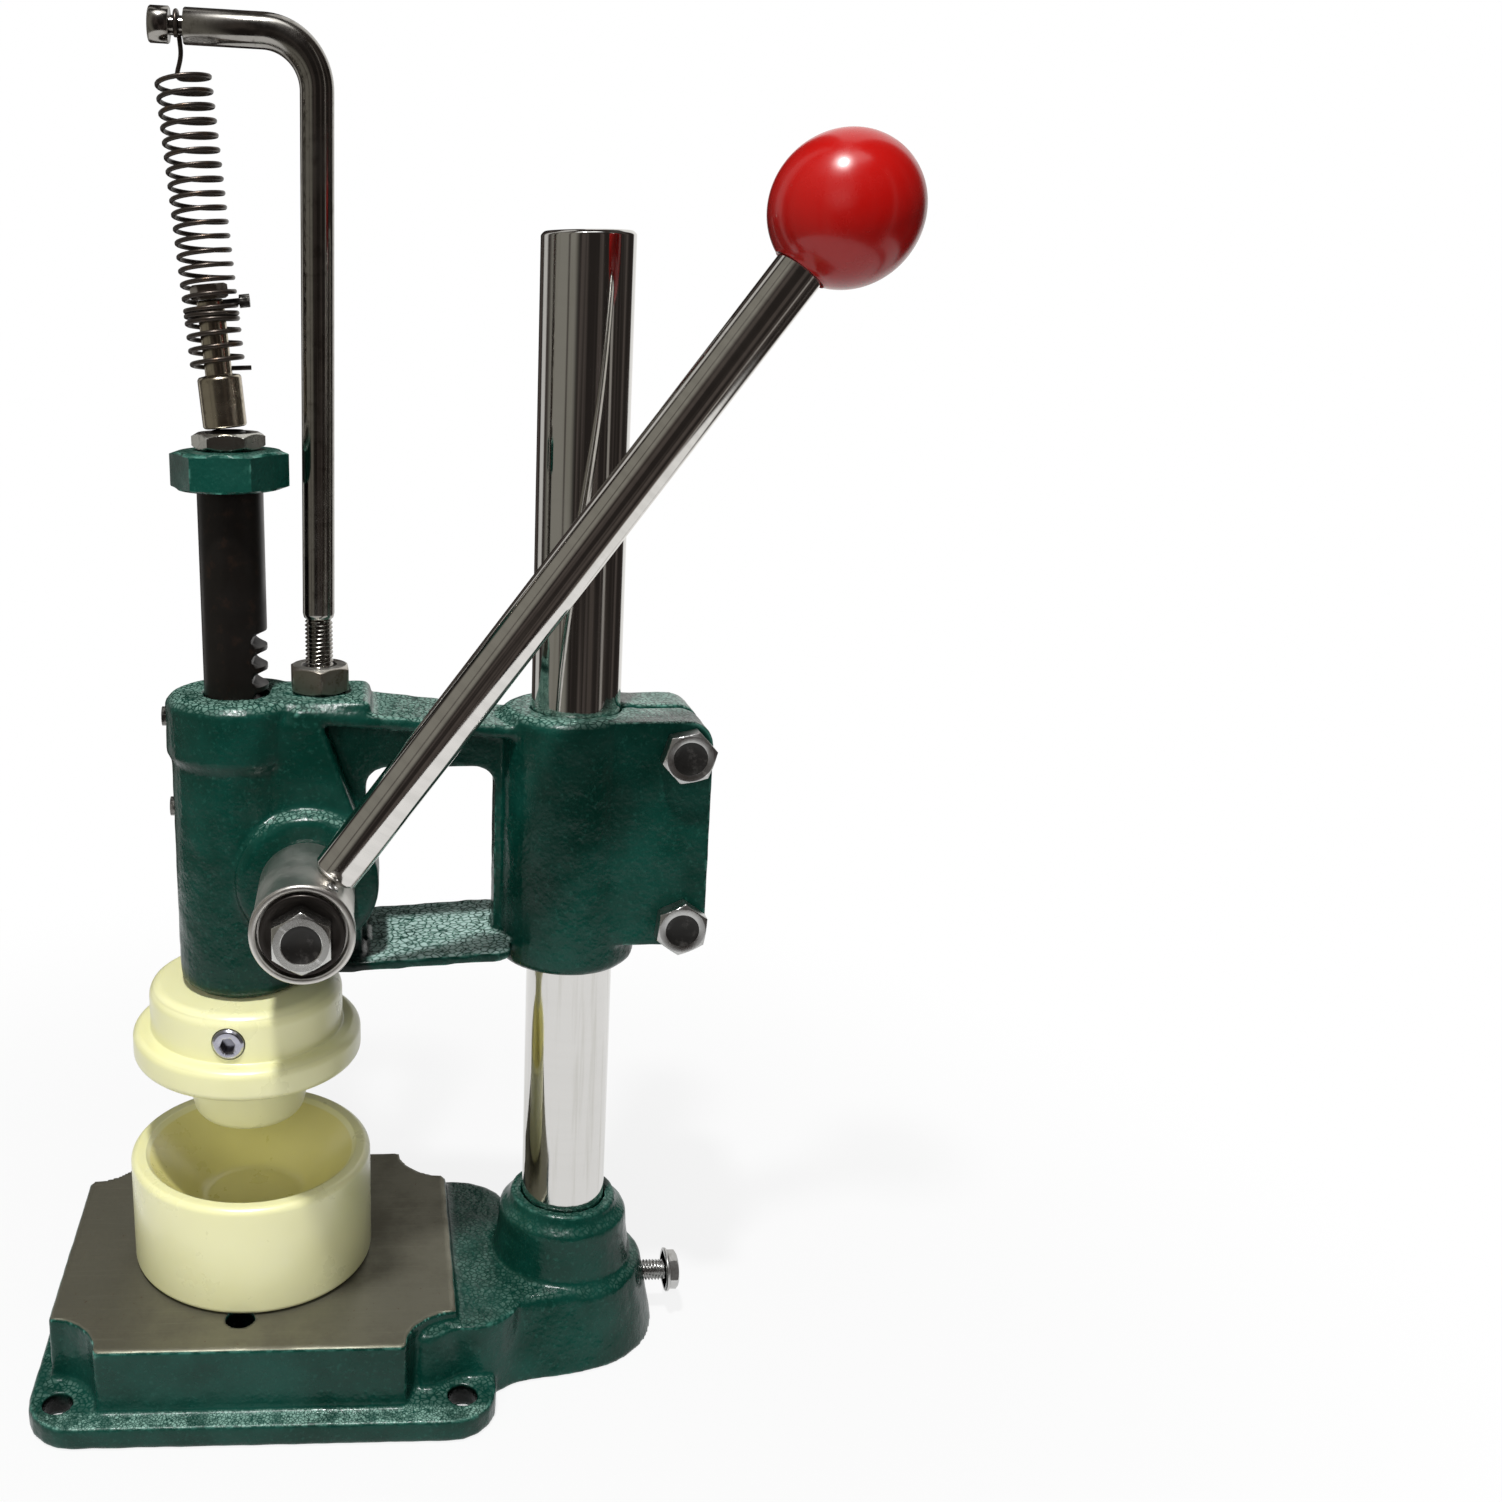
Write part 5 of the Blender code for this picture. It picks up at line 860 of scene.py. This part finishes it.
# these keep the CAD model's shape
for look, slotName, body, *names in (
    ("turnedHubSteel", "turned_steel", "lever", "pinionShaft"),
    ("bearingBronze", "bronze", "head", "pinionBushing"),
    ("blackScrew", "black_steel", "lever", "collarScrew"), ("blackScrew", "zinc_steel", "ram", "springScrew"),
    ("blackScrew", "black_steel", "head", "bushingScrew", "guideScrewUpper", "guideScrewLower"),
):
    for name in names:
        dress(name, mergedCopy(nodeOf(name)), look, body, 30)
print("lever made")


# the ram, its nuts and the spring's post

ramShape = {
    "radius": 11.5, "top": 343.0, "bottom": 149.8, "chamfer": 1.0, "stud": 6.0, "studTop": 352.0,
    "stem": 8.0, "stemBottom": 122.0, "module": 2.25, "slots": 15, "firstSlot": 180.93, "gap": 0.15,
    "pressure": math.radians(20), "around": 160, "uncut": 99,
}


def makeRam(radius, top, bottom, chamfer, stud, studTop, stem, stemBottom, module, slots, firstSlot, gap,
            pressure, around, uncut):
    # a bar whose y is held under the rack's line, which steps from tooth tip to root along the flanks
    pitchLine, toothPitch = radius - module, math.pi * module
    root = pitchLine - 1.25 * module
    slope = math.tan(pressure)
    half = toothPitch / 4 + gap
    foot, mouth = half - (pitchLine - root) * slope, half + (radius - pitchLine) * slope
    upper = [(mouth + 0.25, uncut), (mouth, radius - 0.12), (foot + 0.15, root + 0.3), (foot - 0.3, root)]
    slot = upper + [(-offset, limit) for offset, limit in upper[::-1]]
    rows = [(0, studTop, uncut), (stud - 0.6, studTop, uncut), (stud, studTop - 0.6, uncut),
            (stud, top, uncut), (radius - chamfer, top, uncut), (radius, top - chamfer, uncut)]
    for number in range(slots - 1, -1, -1):
        middle = firstSlot + number * toothPitch
        rows += [(radius, middle + offset, limit) for offset, limit in slot]
    rows += [(radius, bottom + 0.4, uncut), (radius - 0.4, bottom, uncut), (stem, bottom, uncut),
             (stem, stemBottom + 0.5, uncut), (stem - 0.5, stemBottom, uncut), (0, stemBottom, uncut)]
    bar = np.array(rows)
    angle = np.arange(around) * 2 * np.pi / around
    x = bar[:, :1] * np.cos(angle)
    y = np.minimum(bar[:, :1] * np.sin(angle), bar[:, 2:3])
    z = np.repeat(bar[:, 1:2], around, axis=1)
    mesh = closedMesh("rackRam", np.stack([x, y, z], axis=-1) * mm)
    dress("rackRam", mesh, "oiledRam", "ram", 25, ["ram"])


makeRam(**ramShape)
nutShapes = {
    "stop": [(0, 13.3), (17.0, 13.3, 0.8), (21.2, 11.9, 0.8), (21.2, 1.2, 0.8), (17.2, 0.0, 0.8), (0, 0)],
    "stopPlace": (0, 0, 332), "stopFlats": 36, "stopTurn": math.radians(-5), "lockPlace": (0, 0, 345.6),
    "lock": {"flats": 22, "height": 5.7, "dish": 8.4, "dishDepth": 0.7, "thread": (6.0, 0.8, 1.75, 6.4, -2.5),
             "chamferBelow": True},
}
stopRows = turnedRows(eased(nutShapes["stop"]), nutShapes["stopPlace"], (0, 0, 1), 144,
                      nutShapes["stopFlats"], nutShapes["stopTurn"])
dress("stopNut", closedMesh("stopNut", stopRows), "greenPaint", "ram", 40)
hexPiece("lockNut", nutShapes["lockPlace"], (0, 0, 1), "lockNutSteel", "ram", **nutShapes["lock"])

postShape = {
    "corners": [(0, 52.2), (4.0, 52.2, 0.3), (4.6, 51.6, 0.3), (4.6, 27.6, 0.3), (6.9, 27.2, 0.3),
                (7.5, 26.4, 0.4), (7.5, 10.6, 0.4), (6.9, 10.0, 0.3), (0, 10.0)],
    "cap": {"flats": 11, "height": 5, "dish": 3.6, "dishDepth": 0.5, "chamferBelow": True, "around": 72},
    "capReach": 52.3,
}
turnedPiece("springPost", postShape["corners"], springFoot, springAxis, "postSteel", "ram", around=72)
capPlace = tuple(np.array(springFoot) + np.array(springAxis) * postShape["capReach"])
hexPiece("postCapNut", capPlace, springAxis, "armNutSteel", "ram", **postShape["cap"])
print("ram made")


# the arm that holds the spring

armShape = {
    "foot": (0, 29.8, 286.0), "corner": (0, 32.6, 477.2), "tip": (0, -21.2, 480.0), "bend": 18.0,
    "radius": 5.6, "groove": (0, -12.2, 479.53), "grooveRadius": 3.0, "grooveWidth": 4.6,
    "thread": (4.95, 0.75, 1.5, 286.6, 242.0), "threadFoot": (0, 29.8, 0),
    "nut": {"flats": 20, "height": 9.4, "dish": 6.2, "dishDepth": 0.6, "chamferBelow": True,
            "turn": math.radians(35), "nodes": ["spring_arm_nut"]},
    "nutPlace": (0, 29.8, 260.3),
}


def makeArm(shape):
    # two straight runs and an arc of the bend's radius between them, then the groove's step in radius
    foot, corner, tip, groove = (np.array(shape[key]) for key in ("foot", "corner", "tip", "groove"))
    first, second, bend = unit(foot - corner), unit(tip - corner), shape["bend"]
    opening = math.acos(float(np.dot(first, second)))
    reach = bend / math.tan(opening / 2)
    centre = corner + unit(first + second) * bend / math.sin(opening / 2)
    a, b = unit(corner + first * reach - centre), unit(corner + second * reach - centre)
    share = np.linspace(0, 1, 25)[:, None]
    sweep = math.acos(float(np.dot(a, b)))
    arc = centre + bend * (np.sin((1 - share) * sweep) * a + np.sin(share * sweep) * b) / math.sin(sweep)
    half, big, small = shape["grooveWidth"] / 2, shape["radius"], shape["grooveRadius"]
    end = float(np.linalg.norm(tip - groove))
    steps = [(-half - 0.4, big), (-half, big - 0.3), (-half + 0.05, small), (half - 0.05, small),
             (half, big - 0.3), (half + 0.4, big), (end - 0.7, big), (end - 0.2, big - 0.4), (end, big - 1.0)]
    path = np.vstack([[foot, foot + (corner - foot) * 0.004, foot + (corner - foot) * 0.012], arc]
                     + [groove + second * along for along, _ in steps])
    radii = [4.2, 5.2, big] + [big] * len(arc) + [radius for _, radius in steps]
    mesh = closedMesh("springArm", wireRows(path, radii, 48),
                      threadRows(shape["thread"], shape["threadFoot"], (0, 0, 1), 48))
    dress("springArm", mesh, "armChrome", "head", 40)


makeArm(armShape)
hexPiece("armNut", armShape["nutPlace"], (0, 0, 1), "armNutSteel", "head", **armShape["nut"])


# the return spring

springShape = {
    "radius": 8.6, "wire": 0.8, "top": 465.2, "bottom": 372.8, "turns": 22.0, "pointsPerTurn": 28,
    "tail": 10.6, "hookGap": 0.4, "stem": 6.0, "hookSweep": math.radians(235), "leave": 5.5, "arrive": 6.0,
    "frontTilt": math.radians(4), "sideTilt": math.radians(1.5), "restsBelow": 398.0,
    "closedFrom": 3.4, "closedTo": 5.6, "closedPull": 0.62,
}


def springPath(shape):
    # tail; helix c(s) + R (cos a front + sin a side); a Bezier up to the stem; an arc round the arm's groove
    axis, pivot, hook = np.array(springAxis), np.array(springFoot), np.array(armShape["groove"])
    front = np.array((math.cos(shape["frontTilt"]), 0, math.sin(shape["frontTilt"])))
    side = np.array((0, math.cos(shape["sideTilt"]), math.sin(shape["sideTilt"])))
    bottom, top = (pivot + axis * (shape[key] - pivot[2]) / axis[2] for key in ("bottom", "top"))
    s = np.linspace(0, 1, round(shape["turns"] * shape["pointsPerTurn"]) + 1)[:, None]
    turn = shape["turns"] * s
    angle = np.pi + 2 * np.pi * turn
    # the curls round the post's cap lie closer: the rise slows between two turns and makes it up elsewhere
    slow = 1 - shape["closedPull"] * (np.clip((turn - shape["closedFrom"]) * 4, 0, 1)
                                      * np.clip((shape["closedTo"] - turn) * 4, 0, 1))
    risen = np.cumsum(slow, axis=0)
    risen = (risen - risen[0]) / (risen[-1] - risen[0])
    helix = bottom + (top - bottom) * risen + shape["radius"] * (np.cos(angle) * front + np.sin(angle) * side)
    tailEnd = helix[0] + shape["tail"] * side
    tail = tailEnd + (helix[0] - tailEnd) * np.array([0, 0.3, 0.6, 0.85])[:, None]
    hookRadius = armShape["grooveRadius"] + shape["hookGap"] + shape["wire"]
    arrive = hook - np.array((hookRadius, 0, 0)) - axis * shape["stem"]
    t = np.linspace(0, 1, 25)[1:, None]
    first = helix[-1] + unit(helix[-1] - helix[-2]) * shape["leave"]
    second = arrive - axis * shape["arrive"]
    leadIn = ((1 - t) ** 3 * helix[-1] + 3 * t * (1 - t) ** 2 * first
              + 3 * t ** 2 * (1 - t) * second + t ** 3 * arrive)
    sweep = np.pi - shape["hookSweep"] * np.linspace(0, 1, 25)[:, None]
    loop = hook + hookRadius * np.hstack([np.cos(sweep), np.zeros_like(sweep), np.sin(sweep)])
    return np.vstack([tail, helix, leadIn, loop])


springRows = wireRows(springPath(springShape), springShape["wire"], 12)
springMesh = closedMesh("springWire", springRows)
springWire = dress("springWire", springMesh, "springWire", None, 0, ["return_spring"])
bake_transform(springWire)
print("spring made")


# the floor, the room that the metal mirrors, and the light

studio = {
    "floorRadius": 500 * mm, "floorMiddle": 30 * mm, "floorColours": ((0.62, 0.62, 0.62), (0.80, 0.80, 0.80)),
    "whiteShare": 0.86, "fadeFrom": 0.30, "fadeTo": 0.98, "fill": 0.24, "aim": (0, 0.05, 0.2),
    # place in metres, diameter, watts, and whether the metal mirrors it: the front lamp is too broad for that
    "lamps": [("keyLamp", (0.50, -0.09, 1.54), 0.10, 22.0, True),
              ("frontLamp", (1.30, -0.40, 0.75), 0.80, 9.0, False)],
    "footprint": (66 * mm, 79 * mm, 5.5 * mm),      # half depth, half length and middle of the base's foot
    "domeRadius": 3.2, "domeGrey": (0.024, 0.020, 0.018), "streakShare": 3.4,
    # panels: azimuth, height, half width, half height and softness in degrees, then the colour
    "panels": [
        (150, 20, 26, 60, 6, (0.95, 0.94, 0.92)), (-70, 10, 46, 60, 16, (0.25, 0.24, 0.21)),
        (-52, 10, 4, 60, 3, (0.10, 0.09, 0.08)), (-132, 20, 12, 60, 5, (0.60, 0.59, 0.57)),
        (58, 0, 4, 50, 2, (0.34, 0.32, 0.30)), (92, -30, 34, 9, 3, (0.93, 0.93, 0.92)),
        (0, 72, 60, 12, 8, (2.4, 2.4, 2.4)),
    ],
}


def seenDirectly(tree):
    # 1 for a ray from the camera, off a mirror or through glass
    paths = tree.nodes.new("ShaderNodeLightPath").outputs
    seen = mathNode("MAXIMUM", paths["Is Camera Ray"], paths["Is Glossy Ray"])
    return mathNode("MAXIMUM", seen, paths["Is Transmission Ray"])


def makeFloor(setup):
    # a disc facing up; camera and reflections see it as nearly white, wholly at its rim
    angle = np.arange(96) * 2 * np.pi / 96
    radius, centre = setup["floorRadius"], setup["floorMiddle"]
    reach = np.array([1e-4, 0.15, 0.4, 1.0])[:, None] * radius
    rows = np.stack([reach * np.cos(angle), reach * np.sin(angle) + centre, np.zeros((4, 96))], axis=-1)
    floor = addObject("benchTop", gridMesh(rows))
    shader, place = newLook("benchTopWhite")
    tree = place.id_data
    speck = rangeNode(noiseNode(place, 6.0, 4.0), 0.2, 0.8, 0.0, 0.04)
    feed(shader, Base_Color=mixColour(speck, *setup["floorColours"]), Roughness=0.7, Specular_IOR_Level=0.1)
    away = vectorNode("LENGTH", vectorNode("SUBTRACT", place, (0, centre, 0)))
    share = rangeNode(away, radius * setup["fadeFrom"], radius * setup["fadeTo"], setup["whiteShare"], 1.0)
    # under the base's foot it stays dark, for the screw holes look down on it
    depth, length, middle = setup["footprint"]
    across = mathNode("LESS_THAN", mathNode("ABSOLUTE", axisOf(place, "X")), depth)
    along = mathNode("ABSOLUTE", mathNode("SUBTRACT", axisOf(place, "Y"), middle))
    under = times(across, mathNode("LESS_THAN", along, length))
    seen = times(seenDirectly(tree), share, mathNode("SUBTRACT", 1.0, under))
    glow = tree.nodes.new("ShaderNodeEmission").outputs[0]
    blend = addNode("MixShader", n0=seen, n1=shader.outputs[0], n2=glow)
    feed(tree.nodes["Material Output"], Surface=blend.outputs[0])
    floor.data.materials.append(looks["benchTopWhite"])


def panelMask(azimuth, height, middle, rise, *sizes):
    # a soft-edged rectangle in azimuth and height, the azimuth's difference wrapped to -180..180
    off = mathNode("SUBTRACT", azimuth, math.radians(middle))
    off = addNode("Math", {"operation": "WRAP"}, n0=off, n1=math.pi, n2=-math.pi).outputs[0]
    off = mathNode("ABSOLUTE", off)
    up = mathNode("ABSOLUTE", mathNode("SUBTRACT", height, math.radians(rise)))
    wide, high, soft = (math.radians(size) for size in sizes)
    return times(rangeNode(off, wide - soft, wide, 1.0, 0.0), rangeNode(up, high - soft, high, 1.0, 0.0))


def makeDome(setup):
    # a sphere round the bench, seen only in reflections: a dim brown room with pale panels and streaks
    angle = np.arange(64) * 2 * np.pi / 64
    rise = np.linspace(math.pi / 2, -math.pi / 2, 33)[:, None]
    rows = setup["domeRadius"] * np.stack([np.cos(rise) * np.cos(angle), np.cos(rise) * np.sin(angle),
                                           np.sin(rise) * np.ones((1, 64))], axis=-1)
    dome = addObject("studioDome", closedMesh("studioDome", rows))
    place = newLook("studioDome")[1]
    x, y, z = addNode("SeparateXYZ", Vector=place).outputs
    azimuth = mathNode("ARCTAN2", y, x)
    height = mathNode("ARCSINE", mathNode("DIVIDE", z, setup["domeRadius"]))
    turn = addNode("CombineXYZ", X=azimuth, Y=times(height, 0.25)).outputs[0]
    grey = setup["domeGrey"]
    streak = rangeNode(noiseNode(turn, 3.4, 2.0, 0.6), 0.45, 0.62)
    tone = mixColour(streak, grey, scaled(grey, setup["streakShare"]))
    tone = layered(tone, [(panelMask(azimuth, height, *panel), colour) for *panel, colour in setup["panels"]])
    feed(place.id_data.nodes["Material Output"], Surface=addNode("Emission", Color=tone).outputs[0])
    dome.data.materials.append(looks["studioDome"])
    setAll(dome, visible_camera=False, visible_diffuse=False, visible_shadow=False, visible_transmission=False)


def makeLamp(name, place, size, power, mirrored):
    data = setAll(bpy.data.lights.new(name, "AREA"), shape="DISK", size=size, energy=power)
    aim = Vector(studio["aim"]) - Vector(place)
    setAll(addObject(name, data), location=place, visible_glossy=mirrored,
           rotation_euler=aim.to_track_quat("-Z", "Y").to_euler())


def makeWorld(setup):
    # white where the camera or a reflection meets it, a softer grey as light
    world = bpy.context.scene.world = bpy.data.worlds.new("studioAir")
    world.use_nodes = True
    back = world.node_tree.nodes["Background"]
    feed(back, Color=(1, 1, 1), Strength=between(seenDirectly(world.node_tree), setup["fill"], 1.0))


makeFloor(studio)
makeDome(studio)
for lamp in studio["lamps"]:
    makeLamp(*lamp)
makeWorld(studio)
bpy.context.scene.view_settings.view_transform = "Standard"
print("studio set")
